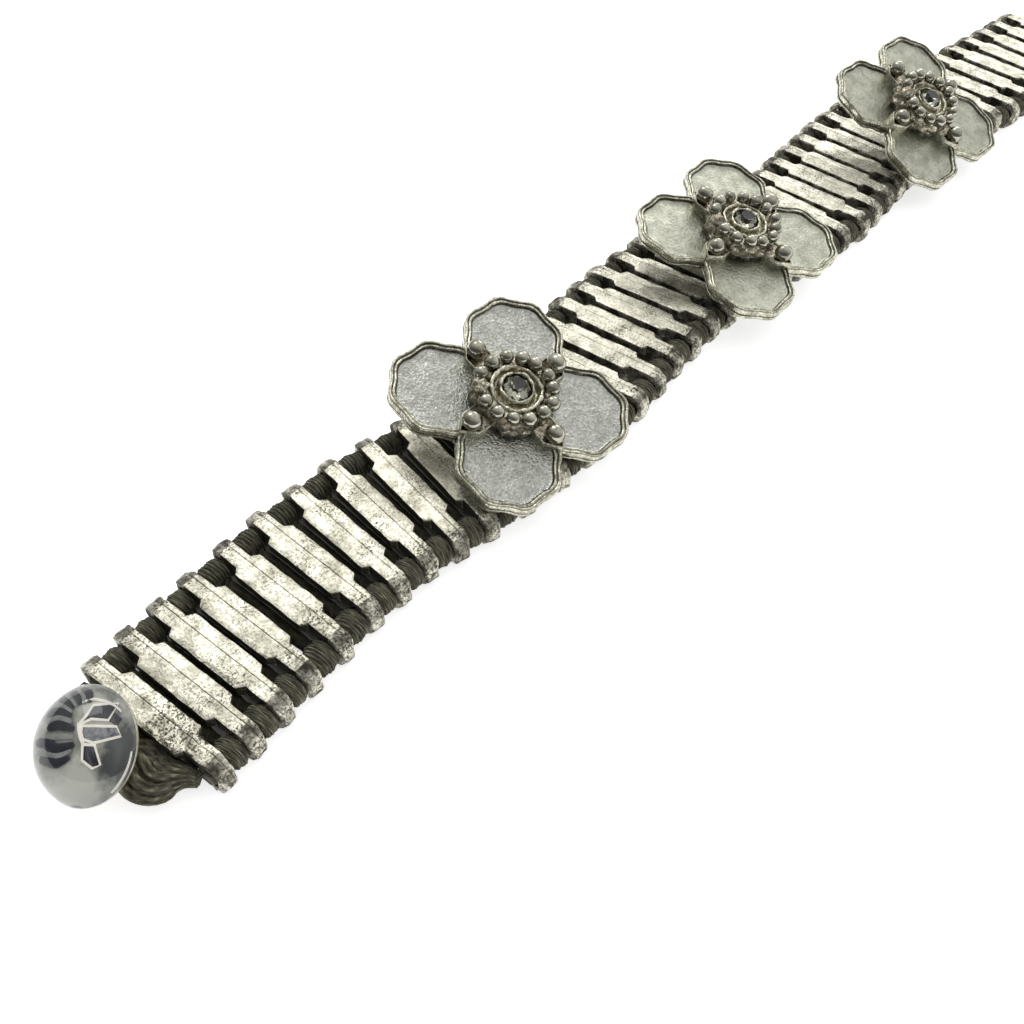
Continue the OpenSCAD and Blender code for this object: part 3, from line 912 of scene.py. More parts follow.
@dataclass
class CastBar:
    """The two-hole spacer bar: narrow lugs with a wide flat block on their middle.

    Attributes:
        strip: The strip that it lies in.
        length: Length across the strip.
        height: Height of the bar.
        block_w: Width of the block.
        block_len: Length of the block.
        block_h: Thickness of the block before it slopes in.
        hole_r: Radius of the cord holes.
        corner: Size of the block's cut corners.
        lug_corner: Size of the lugs' cut corners.
        edge_round: Radius of the rubbed edges.
        slice_mm: Distance between the cuts that let the casting be uneven.
        line_x: Where the parting line runs.
        tip_round: Length over which a lug's end is rounded.
        nose: Length over which it narrows.
        groove_mm: Depth of the parting line's groove.
        camber: How much the top falls for each millimetre from that line.
        waves: Depth and size of the casting's unevenness.
        ripples: Depth and size of the top's fine unevenness.
        crinkles: Depth and size of the tips' unevenness.
        gouges: Depth and size of the pits in the first bar's worn patch.
        worn: Where that patch lies along the bar.
        shaded: Painted shade of a lug's side, and painted dark reflection over patina on its end and where
            that turns down.
        side_patina_and_shade: Patina with painted shade on the sides and underside up to the first flower,
            and beyond it, where the painted shade is lighter.
        template: The bar that all places copy.
    """

    strip: Strip
    length: float = 17.5
    height: float = 3.8
    block_w: float = 2.95
    block_len: float = 9.2
    block_h: float = 1.0
    hole_r: float = 1.15
    corner: float = 0.5
    lug_corner: float = 0.28
    edge_round: float = 0.16
    slice_mm: float = 0.45
    line_x: float = 0.3
    tip_round: float = 1.3
    nose: float = 0.8
    groove_mm: float = 0.06
    camber: float = 0.05
    waves: tuple[float, float] = (0.07, 1.3)
    ripples: tuple[float, float] = (0.035, 0.5)
    crinkles: tuple[float, float] = (0.15, 0.7)
    gouges: tuple[float, float] = (0.3, 0.42)
    worn: tuple[float, float] = (-5.8, -0.2)
    shaded: tuple[float, float, float] = (0.5, 0.46, 0.3)
    side_patina_and_shade: tuple[float, float] = (1.0, 0.62)
    template: bpy.types.Mesh = field(init=False)

    def __post_init__(self) -> None:
        """Casts the bar that all places copy."""
        bm = combined(self.lugs(), self.block(), "UNION")
        for side in (-1, 1):
            bore = bmesh.new()
            across = Matrix.Translation((0, side * self.strip.hole_y, self.strip.cord_z))
            bmesh.ops.create_cone(
                bore, cap_ends=True, segments=24, radius1=self.hole_r, radius2=self.hole_r,
                depth=3 * self.strip.lug_w, matrix=across @ turned_by(90, "Y"),
            )
            bm = combined(bm, bore, "DIFFERENCE")
        bmesh.ops.dissolve_limit(bm, angle_limit=0.01, verts=bm.verts[:], edges=bm.edges[:])
        soften(bm, self.edge_round, 2)
        self.slice_up(bm)
        self.round_tips(bm)
        self.template = stored(bm, "bar_template")

    def slice_up(self, bm: Mesh) -> None:
        """Cuts the bar finely enough for its unevenness, finest at the tips and the parting line.

        Args:
            bm: The bar.
        """
        count = int(self.length / self.slice_mm)
        cuts = [self.length * (k / count - 0.5) for k in range(1, count)]
        ends = [side * (self.length / 2 - 0.2 * k) for side in (-1, 1) for k in range(1, 12)]
        for y in cuts + ends:
            cut_through(bm, (0, y, 0), (0, 1, 0))
        groove = [self.line_x + step for step in (-0.11, -0.045, 0, 0.045, 0.11)]
        for x in (-1.0, -0.62, -0.2, *groove, 0.62, 1.0):
            cut_through(bm, (x, 0, 0), (1, 0, 0))
        for z in (0.6, 1.2, 1.9, 2.5, 3.1, 3.45):
            cut_through(bm, (0, 0, z), (0, 0, 1))
        bmesh.ops.triangulate(bm, faces=[face for face in bm.faces if len(face.verts) > 4])

    def round_tips(self, bm: Mesh) -> None:
        """Rounds the lugs' tips, then draws them out to the bar's length and narrows their noses.

        Args:
            bm: The bar.
        """
        drawn_mm, narrowing = 0.1, 0.7
        reach = self.length / 2 - self.tip_round
        tips = [vert for vert in bm.verts if abs(vert.co.y) > reach]
        ease(bm, tips, 7)
        for vert in tips:
            vert.co.y += math.copysign(drawn_mm * (abs(vert.co.y) - reach) / self.tip_round, vert.co.y)
            past = clamped((abs(vert.co.y) - self.length / 2 + self.nose) / self.nose)
            vert.co.x *= math.sqrt(1 - narrowing * past**2)

    def lugs(self) -> Mesh:
        """Returns the upright plate with round ends and cut corners."""
        bm = bmesh.new()
        sides = 50
        verts = bmesh.ops.create_circle(bm, cap_ends=True, segments=sides, radius=self.height / 2)["verts"]
        bmesh.ops.scale(bm, vec=(1 / math.cos(math.pi / sides), 1, 1), verts=verts)
        bmesh.ops.rotate(bm, matrix=turned_by(90, "Y").to_3x3(), verts=verts)
        for vert in verts:
            vert.co.y += math.copysign(self.strip.hole_y, vert.co.y)
            vert.co.z += self.height / 2
        thick = self.strip.lug_w
        bmesh.ops.translate(bm, vec=(-thick / 2, 0, 0), verts=bm.verts[:])
        thicken(bm, bm.faces[:], (thick, 0, 0))
        bmesh.ops.recalc_face_normals(bm, faces=bm.faces[:])
        for x, y in CORNERS:
            at = Vector((x * thick / 2, y * (self.length / 2 - self.lug_corner), 0))
            cut_through(bm, at, Vector((x, y, 0)).normalized(), trim=True)
        return bm

    def block(self) -> Mesh:
        """Returns the flat block, sloped in below and cut off at its corners."""
        bm = bmesh.new()
        wide, thin, low = self.block_w / 2, self.strip.lug_w / 2, self.height - self.block_h
        end = [
            (-wide, self.height), (-wide, low), (-thin, low - self.corner),
            (thin, low - self.corner), (wide, low), (wide, self.height),
        ]
        face = bm.faces.new([bm.verts.new((x, -self.block_len / 2, z)) for x, z in end])
        thicken(bm, [face], (0, self.block_len, 0))
        bmesh.ops.recalc_face_normals(bm, faces=bm.faces[:])
        for x, y in CORNERS:
            at = Vector((x * wide, y * (self.block_len / 2 - self.corner), 0))
            facing = Vector((x * self.corner, y * (wide - thin), 0)).normalized()
            cut_through(bm, at, facing, trim=True)
        return bm

    def copy_for(self, place: int) -> Mesh:
        """Casts one bar for a place, with its own unevenness, darkening and pits.

        Args:
            place: The bar's place.

        Returns:
            The bar on its own middle.
        """
        bm = fetched(self.template)
        bm.normal_update()
        for vert in bm.verts:
            if abs(vert.co.x - self.line_x) < 0.01 and vert.normal.z > 0.5:
                vert.co -= vert.normal * self.groove_mm
            elif vert.normal.z > 0.5:
                vert.co.z -= self.camber * abs(vert.co.x - self.line_x)
        roughen(bm.verts, *self.waves, place)
        roughen([vert for vert in bm.verts if vert.normal.z > 0.3], *self.ripples, place + 20)
        tips = [vert for vert in bm.verts if abs(vert.co.y) > self.strip.hole_y - 0.2]
        roughen(tips, *self.crinkles, place + 50)
        ease(bm, tips, 2)
        for vert in bm.verts:
            vert.co.z = max(vert.co.z, 0.0)
        self.pit(bm, place)
        self.darken(bm, place)
        return bm

    def pit(self, bm: Mesh, place: int) -> None:
        """Writes how pitted each point is, most at the tips and in the first bar's worn patch.

        Args:
            bm: The bar.
            place: Its place.
        """
        pitting = bm.verts.layers.float.new("pitting")
        cloud_w, cloud_len, plain, by_cloud, by_end = 3, 2.2, 0.35, 0.8, 0.55
        for vert in bm.verts:
            cloud = noise.noise(Vector((vert.co.x / cloud_w, vert.co.y / cloud_len, place * 3.3)))
            at_end = clamped((abs(vert.co.y) - self.strip.hole_y + 1.0) / 1.2)
            vert[pitting] = clamped(plain + by_cloud * cloud + by_end * at_end)
        if place == 1:
            low, high = self.worn
            patch = [vert for vert in bm.verts if low < vert.co.y < high and vert.normal.z > 0.3]
            roughen(patch, *self.gouges, 3)
            for vert in patch:
                vert[pitting] = 1.0

    def darken(self, bm: Mesh, place: int) -> None:
        """Writes how darkened each face is, with painted shade, and the UV map that carries the parting
        line.

        Sides and underside take patina with painted shade, lighter beyond the first flower. A lug's end
        takes a painted dark reflection over patina, least where it turns down.

        Args:
            bm: The bar.
            place: Its place.
        """
        side_shade = self.side_patina_and_shade[0] if place < FLOWER_PLACES[0] else self.side_patina_and_shade[1]
        lug_side, lug_end, turned_down = self.shaded
        end_from, down_from = 0.2, 1.35
        patina_and_shade = bm.loops.layers.float.new("patina_and_shade")
        surface = bm.loops.layers.uv.new("surface")
        for face in bm.faces:
            middle = face.calc_center_median()
            sideways = abs(face.normal.x) > 0.7 and middle.z < self.height - 0.12
            below = face.normal.z < -0.1
            past = abs(middle.y) - self.strip.hole_y
            # Painted shade over patina on sides and underside; painted dark reflection on the lug ends
            shade = side_shade if sideways or below else 0.0
            if past > 0.35 and sideways:
                shade = lug_side
            elif end_from < past < down_from and not below:
                shade = lug_end
            elif past >= down_from and not below:
                shade = turned_down
            for loop in face.loops:
                loop[patina_and_shade] = shade
                loop[surface].uv = loop.vert.co.xy

    def build(self) -> None:
        """Casts every bar that carries no flower."""
        for place in range(1, BAR_PLACES + 1):
            if place not in FLOWER_PLACES:
                bm = self.copy_for(place)
                bm.transform(self.strip.on(place))
                finish_piece(bm, f"cast_bar_{place:02d}", [BAR_METAL], Slot.CAST, f"bar_{place:02d}")


# ---------------------------------------------------------------- flowers


@dataclass
class Flower:
    """One cast flower with the post and the bar that carry it.

    Attributes:
        strip: The strip that it stands on.
        bar: The bar that it is soldered to.
        number: Its number.
        place: The bar's place.
        shift: Offset of its middle along and across.
        lift: Height of the petals' underside.
        lean: Its lean about x, in degrees.
        spin: Its turn about its own axis, in degrees.
        petal_out: Distance of a petal's middle from the flower's.
        petal_r: Radius of a petal.
        petal_wave: How far its outline waves, as a share of that.
        waves: Number of waves.
        disc_r: Radius of the disc under the mound.
        disc_h: Its height.
        mound_h: Height of the mound.
        mound_r: Its radius near the top.
        ring_r: Radius of the ring of beads.
        ring_turn: Turn of its first bead, in degrees.
        bead_r: Radius of these beads.
        bead_count: Number of them.
        worn_bead: The one that is worn to a lump, counted from zero.
        big_bead_r: Radius of a bead on a leaf.
        big_bead_out: Its distance from the flower's middle.
        leaf_h: Height of the leaves.
        leaf_tip: Distance of their tips.
        leaf_half_w: Their half width.
        cup_r: Inner radius of the cup round the stone.
        cup_wall: Thickness of its wall.
        bezel_r: Inner radius of the stone's bezel.
        bezel_wall: Thickness of its wall.
        post_r: Radius of the post.
        petal_bumps: Depth and size of a petal's unevenness, then twice of its rim's.
        flank_bumps: The same of the rough ground round the beads, coarse and fine.
        cup_bumps: The same of the cup and the bezel.
        bead_squash: Least and most of a bead's size, as shares of its radius.
        bead_growth: Least and most of the ring's bead radii, as shares of their own.
        ring_scatter: How far a bead of the ring strays: in degrees, outwards and in height.
        lump: Size of the worn bead, as shares of its radius.
        lump_bumps: Depth and size of its unevenness.
    """

    strip: Strip
    bar: CastBar
    number: int
    place: int
    shift: tuple[float, float]
    lift: float
    lean: float
    spin: float
    petal_out: float = 7.0
    petal_r: float = 5.3
    petal_wave: float = 0.035
    waves: int = 8
    disc_r: float = 4.4
    disc_h: float = 1.5
    mound_h: float = 2.95
    mound_r: float = 3.9
    ring_r: float = 3.65
    ring_turn: float = 14.9
    bead_r: float = 0.74
    bead_count: int = 14
    worn_bead: int = 5
    big_bead_r: float = 1.03
    big_bead_out: float = 5.8
    leaf_h: float = 2.1
    leaf_tip: float = 7.3
    leaf_half_w: float = 1.35
    cup_r: float = 2.35
    cup_wall: float = 0.4
    bezel_r: float = 1.5
    bezel_wall: float = 0.35
    post_r: float = 1.2
    petal_bumps: tuple[tuple[float, float], ...] = ((0.09, 2.2), (0.07, 0.8), (0.04, 0.35))
    flank_bumps: tuple[tuple[float, float], ...] = ((0.45, 0.6), (0.2, 0.25))
    cup_bumps: tuple[tuple[float, float], ...] = ((0.24, 0.9), (0.1, 0.35))
    bead_squash: tuple[float, float] = (0.92, 1.06)
    bead_growth: tuple[float, float] = (0.98, 1.09)
    ring_scatter: tuple[float, float, float] = (2, 0.14, 0.08)
    lump: tuple[float, float, float] = (1.2, 1.1, 0.75)
    lump_bumps: tuple[float, float] = (0.35, 0.4)

    def seat(self) -> Matrix:
        """Returns the matrix that carries the flower's own frame to its place."""
        middle = self.strip.at(self.place) + Vector((*self.shift, self.lift))
        return Matrix.Translation(middle) @ turned_by(self.spin, "Z") @ turned_by(self.lean, "X")

    def petal(self, seed: int) -> Mesh:
        """Casts a petal on its own middle: a waved rim with a groove round a frosted field.

        Args:
            seed: Seed of its unevenness.

        Returns:
            The petal, pulled ring by ring from its underside to its middle.
        """
        rim, groove, frosted = Skin.RIM, Skin.GROOVE_AND_SHADE, Skin.FIELD
        # Share of the radius, height, and the finish of the stretch that leads there
        rows = (
            (0.975, 0.0, groove), (1.0, 0.1, rim), (1.0, 0.42, rim), (0.982, 0.5, groove),
            (1.0, 0.58, groove), (1.003, 0.85, rim), (0.998, 1.16, rim), (0.988, 1.26, rim),
            (0.968, 1.31, rim), (0.948, 1.28, rim), (0.934, 1.17, groove), (0.918, 1.14, groove),
            (0.904, 1.22, rim), (0.888, 1.24, rim), (0.872, 1.17, rim), (0.86, 0.98, groove),
            (0.845, 0.9, groove), (0.81, 0.87, frosted), (0.72, 0.86, frosted), (0.6, 0.87, frosted),
            (0.48, 0.88, frosted), (0.36, 0.89, frosted), (0.24, 0.9, frosted), (0.12, 0.9, frosted),
        )
        bm = bmesh.new()
        share, height = 0.85, 0.0
        edges = loop_of(bm, 96, Matrix.Identity(4))
        start = edges
        for vert in bm.verts:
            angle = math.atan2(vert.co.y, vert.co.x)
            vert.co *= share * self.petal_r * (1 - self.petal_wave * math.cos(self.waves * angle))
        for next_share, next_height, skin in rows:
            step = next_share / share
            grow = Matrix.Diagonal((step, step, 1, 1))
            rise = Matrix.Translation((0, 0, next_height - height))
            edges = pull(bm, edges, rise @ grow, skin)
            share, height = next_share, next_height
        # The underside takes the groove finish as painted shade
        bmesh.ops.edgeloop_fill(bm, edges=start, mat_nr=Skin.GROOVE_AND_SHADE)
        tip = list({vert for edge in edges for vert in edge.verts})
        bmesh.ops.pointmerge(bm, verts=tip, merge_co=(0, 0, height))
        bmesh.ops.recalc_face_normals(bm, faces=bm.faces[:])
        bm.normal_update()
        whole, coarse, fine = self.petal_bumps
        roughen(bm.verts, *whole, seed)
        border = [vert for vert in bm.verts if vert.co.xy.length > 0.84 * self.petal_r]
        roughen(border, *coarse, seed + 9)
        roughen(border, *fine, seed + 19)
        return bm

    def heart(self) -> Mesh:
        """Turns the disc and the mound, with the cup and the stone's bezel in its top."""
        top, cup, bezel = self.mound_h, self.cup_r, self.bezel_r
        ground, rim, groove = Skin.GROUND, Skin.RIM, Skin.GROOVE_AND_SHADE
        wall, out, floor = cup + self.cup_wall, bezel + self.bezel_wall, top - 0.55
        # Radius, height and finish: disc, mound, cup, bezel and the stone's seat. The groove finish on the
        # disc and under the stone is painted shade.
        profile = (
            (0, 0), (self.disc_r, 0, groove), (self.disc_r, self.disc_h - 0.15, groove),
            (4.3, self.disc_h, groove), (4.22, 1.8, ground), (4.13, 2.1, ground), (4.05, 2.4, ground),
            (3.97, 2.65, ground), (self.mound_r, top - 0.1, ground), (3.72, top, ground),
            (3.35, top + 0.02, ground), (3.05, top, ground), (wall, top, ground),
            (wall, top + 0.15, rim), (wall - 0.12, top + 0.3, rim), (cup + 0.12, top + 0.3, rim),
            (cup, top + 0.15, rim), (cup - 0.03, top, rim), (cup - 0.05, top - 0.35, rim),
            (2.12, floor, rim), (out + 0.1, floor, rim), (out, top - 0.4, ground),
            (out - 0.02, top + 0.3, ground), (out - 0.1, top + 0.45, rim),
            (bezel + 0.08, top + 0.45, rim), (bezel, top + 0.33, rim), (bezel, floor + 0.1, groove),
            (1.0, floor - 0.08, groove), (0, floor - 0.1, groove),
        )
        bm = spun(profile, 96)
        bm.normal_update()
        rough = [vert for vert in bm.verts if vert.co.z > self.disc_h - 0.2]
        flank = [vert for vert in rough if vert.co.xy.length > wall + 0.1]
        for bumps, further in zip(self.flank_bumps, (0, 2)):
            roughen(flank, *bumps, self.number + further)
        inside = [vert for vert in bm.verts if vert.co.z > self.disc_h and vert.co.xy.length < wall + 0.1]
        for bumps, further in zip(self.cup_bumps, (4, 8)):
            roughen(inside, *bumps, self.number + further)
        return bm

    def leaf(self) -> Mesh:
        """Cuts a pointed leaf with a thin raised border."""
        bm = bmesh.new()
        half, out = self.leaf_half_w, self.big_bead_out
        root = self.disc_r - 1
        outline = ((root, -half), (out, -half), (self.leaf_tip, 0), (out, half), (root, half))
        face = bm.faces.new([bm.verts.new((x, y, 0)) for x, y in outline])
        thicken(bm, [face], (0, 0, self.leaf_h))
        bmesh.ops.recalc_face_normals(bm, faces=bm.faces[:])
        top = max(bm.faces, key=lambda one: one.calc_center_median().z)
        border, slope, sunk = 0.2, 0.06, 0.25
        bmesh.ops.inset_region(bm, faces=[top], thickness=border, depth=0.0)
        bmesh.ops.inset_region(bm, faces=[top], thickness=slope, depth=-sunk)
        for one in bm.faces:
            one.material_index = Skin.RIM
        top.material_index = Skin.GROUND
        soften(bm, 0.05, 1, 0.9)
        return bm

    def bead(self, radius: float, at: Vector, rng: random.Random, detail: int, worn: bool = False) -> Mesh:
        """Casts a bead, a little out of round, or a worn one that is part of the ground.

        Args:
            radius: Its radius.
            at: Its middle.
            rng: The flower's source of unevenness.
            detail: Number of its steps round.
            worn: Whether it is worn to a lump.

        Returns:
            The bead in the flower's own frame.
        """
        bm = bmesh.new()
        bmesh.ops.create_uvsphere(bm, u_segments=detail, v_segments=detail * 2 // 3, radius=radius)
        squash = [rng.uniform(*self.bead_squash) for _ in range(3)]
        bmesh.ops.scale(bm, vec=self.lump if worn else squash, verts=bm.verts[:])
        if worn:
            bm.normal_update()
            roughen(bm.verts, *self.lump_bumps, self.number)
        bmesh.ops.translate(bm, vec=at, verts=bm.verts[:])
        for face in bm.faces:
            face.material_index = Skin.GROUND if worn else Skin.BEAD
        return bm

    def head(self) -> Mesh:
        """Puts the flower together on its own middle, the petals' underside at zero."""
        bm = bmesh.new()
        rng = random.Random(self.number)
        for quarter in range(4):
            outwards = turned_by(45 + 90 * quarter, "Z") @ Matrix.Translation((self.petal_out, 0, 0))
            join_in(bm, self.petal(10 * self.number + quarter), outwards)
            between = turned_by(90 * quarter, "Z")
            join_in(bm, self.leaf(), between)
            at = between @ Vector((self.big_bead_out, 0, self.leaf_h + 0.5))
            join_in(bm, self.bead(self.big_bead_r, at, rng, 24))
        join_in(bm, self.heart())
        self.ring(bm, rng)
        drop = (self.lift - self.bar.height) / math.cos(math.radians(self.lean)) + 0.4
        join_in(bm, self.post(drop))
        pitting = bm.verts.layers.float.new("pitting")
        for vert in bm.verts:
            vert[pitting] = 0.5
        return bm

    def ring(self, bm: Mesh, rng: random.Random) -> None:
        """Sets the small beads round the mound, none quite in its place.

        Args:
            bm: The flower.
            rng: Its source of unevenness.
        """
        degrees, outwards, upwards = self.ring_scatter
        for k in range(self.bead_count):
            strayed = math.radians(self.ring_turn + rng.uniform(-degrees, degrees))
            angle = strayed + FULL_TURN * k / self.bead_count
            out = self.ring_r + rng.uniform(-outwards, outwards)
            high = self.mound_h + 0.35 + rng.uniform(-upwards, upwards)
            at = Vector((out * math.cos(angle), out * math.sin(angle), high))
            radius = self.bead_r * rng.uniform(*self.bead_growth)
            join_in(bm, self.bead(radius, at, rng, 18, k == self.worn_bead))

    def post(self, drop: float) -> Mesh:
        """Turns the post that runs down from the disc, flared where it is soldered to the bar."""
        # The post, under the flower, takes the groove finish as painted shade
        dark, flare = Skin.GROOVE_AND_SHADE, self.post_r + 0.2
        rows = (
            (0, 0.4), (self.post_r, 0.4, dark), (self.post_r, 0.2 - drop, dark), (flare, -drop, dark),
            (0, -drop, dark),
        )
        return spun(rows, 32)

    def build(self) -> None:
        """Casts the flower and its bar, and sets the stone's glass."""
        bm = self.bar.copy_for(self.place)
        bm.transform(self.strip.on(self.place))
        join_in(bm, self.head(), self.seat())
        # The further flowers take a lighter copy of the frosting as painted light
        petals = PETAL_METAL if self.number == 1 else LIT_OLIVE_PETAL_METAL
        finishes = [BAR_METAL, petals, RIM_METAL, GROOVE_AND_SHADE_METAL, BEAD_METAL, GROUND_METAL]
        finish_piece(bm, f"cast_flower_{self.number}", finishes, Slot.FLOWER, f"flower_{self.number}")
        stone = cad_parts[f"crystal_{self.number}"]
        stone.data.materials.clear()
        stone.data.materials.append(CRYSTAL_GLASS.material())
        log.info("crystal_%d: cut glass", self.number)


# ---------------------------------------------------------------- cords


@dataclass
class Threading:
    """The cord through the lugs, and the ropes that cross under the bars' tops.

    Attributes:
        strip: The strip that is threaded.
        core_r: Radius of the cord inside a lug.
        wrap_y: Half width of the winding in a gap, across the strip.
        wrap_z: Its half height.
        shoulder: Size of the winding next to a lug, as a share of its middle.
        turns: Turns of yarn in each gap.
        yarn_r: Radius of the winding's yarn.
        clear: Room between a winding and the lugs.
        cross_r: Radius of a crossing rope.
        cross_z: Height of its middle.
        cross_clear: Its room to the lug plate after it.
        cross_half: Half its length. Its ends are buried in the windings.
        cross_core: Radius of the core that closes it, as a share of its own.
        cross_turn_mm: Length in which the rope's two strands make a turn.
        wound_steps: Steps of the yarn in a turn of the winding.
        slant: How far a winding's turns lean at most, as a share of a turn's thickness.
        spun_uneven: Least and most of the yarn's radius, as shares of its own.
        bulge: How much the turns bulge, as a share of the half width, and how often in a turn.
    """

    strip: Strip
    core_r: float = 0.92
    wrap_y: dict[int, float] = field(default_factory=lambda: {1: 1.38, -1: 1.6})
    wrap_z: float = 1.5
    shoulder: float = 0.88
    turns: float = 6.5
    yarn_r: float = 0.17
    clear: float = 0.05
    cross_r: float = 0.72
    cross_z: float = 1.6
    cross_clear: float = 0.25
    cross_half: float = 5.85
    cross_core: float = 0.92
    cross_turn_mm: float = 2.1
    wound_steps: int = 14
    slant: float = 0.25
    spun_uneven: tuple[float, float] = (0.92, 1.08)
    bulge: tuple[float, float] = (0.05, 2.3)

    def lug(self, place: int, side: int, shift: float) -> Vector:
        """Returns a point on the cord hole's axis of one lug, shifted along the strip."""
        return self.strip.on(place) @ Vector((shift, side * self.strip.hole_y, self.strip.cord_z))

    def gap(self, place: int, side: int) -> tuple[Vector, Vector]:
        """Returns the two ends of the gap after a bar, on the cord's axis of one edge."""
        half = self.strip.lug_w / 2 + self.clear
        return self.lug(place, side, half), self.lug(place + 1, side, -half)

    def belly(self, share: float) -> float:
        """Returns how full a winding is at a share of its length."""
        return self.shoulder + (1 - self.shoulder) * math.sin(math.pi * share)

    def core(self, side: int) -> Mesh:
        """Runs the cord through all the lugs of one edge."""
        half = self.strip.lug_w / 2 + self.clear
        points = [self.lug(p, side, shift) for p in range(1, BAR_PLACES + 1) for shift in (-half, half)]
        return tube(frames_along(points, round_halves(self.core_r, len(points))), 10)

    def winding(self, place: int, side: int) -> Mesh:
        """Winds yarn round the cord in the gap after a bar.

        Args:
            place: The bar before the gap.
            side: 1 for the left edge, -1 for the right.

        Returns:
            The winding in the frame.
        """
        rng = random.Random(place * 2 + side)
        start, stop = self.gap(place, side)
        axis = (stop - start).normalized()
        across = Vector((0, 0, 1)).cross(axis)
        steps = int(self.turns * self.wound_steps)
        most, often = self.bulge
        lean = rng.uniform(-self.slant, self.slant)
        phase = rng.uniform(0, FULL_TURN)
        points = []
        for k in range(steps + 1):
            share = k / steps
            angle = phase + FULL_TURN * self.turns * share
            inset = self.yarn_r / (stop - start).length
            where = start.lerp(stop, inset + (1 - 2 * inset) * share)
            uneven = 1 + most * math.sin(often * angle + phase)
            y = (self.wrap_y[side] * self.belly(share) * uneven - self.yarn_r) * math.cos(angle)
            z = (self.wrap_z * self.belly(share) - self.yarn_r) * math.sin(angle)
            aside = lean * math.cos(angle) * self.yarn_r * math.sin(math.pi * share) * 2
            points.append(where + across * y + Vector((0, 0, z)) + axis * aside)
        radii = [self.yarn_r * rng.uniform(*self.spun_uneven) for _ in points]
        return tube(frames_along(points, [(r, r) for r in radii]), 7)

    def filling(self, place: int, side: int) -> Mesh:
        """Fills the inside of a winding so that no light shows between its turns.

        Args:
            place: The bar before the gap.
            side: 1 for the left edge, -1 for the right.

        Returns:
            The filling in the frame.
        """
        start, stop = self.gap(place, side)
        shares = (0.03, 0.2, 0.5, 0.8, 0.97)
        wide, high = self.wrap_y[side], self.wrap_z
        bellies = [self.belly(share) for share in shares]
        halves = [(wide * belly - self.yarn_r, high * belly - self.yarn_r) for belly in bellies]
        points = [start.lerp(stop, share) for share in shares]
        return tube(frames_along(points, halves, upright=True), 14)

    def crossing(self, place: int, seed: int, bm: Mesh) -> None:
        """Twists the rope across one gap, close to the bar after it.

        Args:
            place: The bar before the gap.
            seed: Seed of its unevenness.
            bm: The mesh that gets it.
        """
        pitch = (self.strip.at(place + 1) - self.strip.at(place)).length
        share = 1 - (self.strip.lug_w / 2 + self.cross_r + self.cross_clear) / pitch
        middle = self.strip.at(place).lerp(self.strip.at(place + 1), share)
        turn = self.strip.turn(place) * (1 - share) + self.strip.turn(place + 1) * share
        across = Vector((-math.sin(turn), math.cos(turn), 0))
        steps = 40
        points = [
            middle + across * self.cross_half * (2 * k / steps - 1) + Vector((0, 0, self.cross_z))
            for k in range(steps + 1)
        ]
        frames = frames_along(points, round_halves(self.cross_r, len(points)), upright=True)
        lay_strands(bm, frames, 2, 0.48, [self.cross_r * 0.5] * len(points), self.cross_turn_mm, 7, seed)
        few = points[2:-2:4]
        core_r, tapered = self.cross_r * self.cross_core, 0.85
        slim = [(core_r * full,) * 2 for full in (tapered, *[1] * (len(few) - 2), tapered)]
        join_in(bm, tube(frames_along(few, slim, upright=True), 12))

    def build(self) -> None:
        """Threads both edges and crosses the gaps."""
        for side, name in ((1, "left"), (-1, "right")):
            bm = bmesh.new()
            join_in(bm, self.core(side))
            for place in range(1, BAR_PLACES):
                join_in(bm, self.filling(place, side))
                join_in(bm, self.winding(place, side))
            finish_piece(bm, f"wound_cord_{name}", [CORD_YARN], Slot.CORD, f"edge_cord_{name}")
        bm = bmesh.new()
        for place in range(1, BAR_PLACES):
            self.crossing(place, place, bm)
        # The crossing ropes are painted near black as the shade between the bars
        finish_piece(bm, "crossing_ropes", [SHADED_YARN], Slot.CORD, "cross_cords")


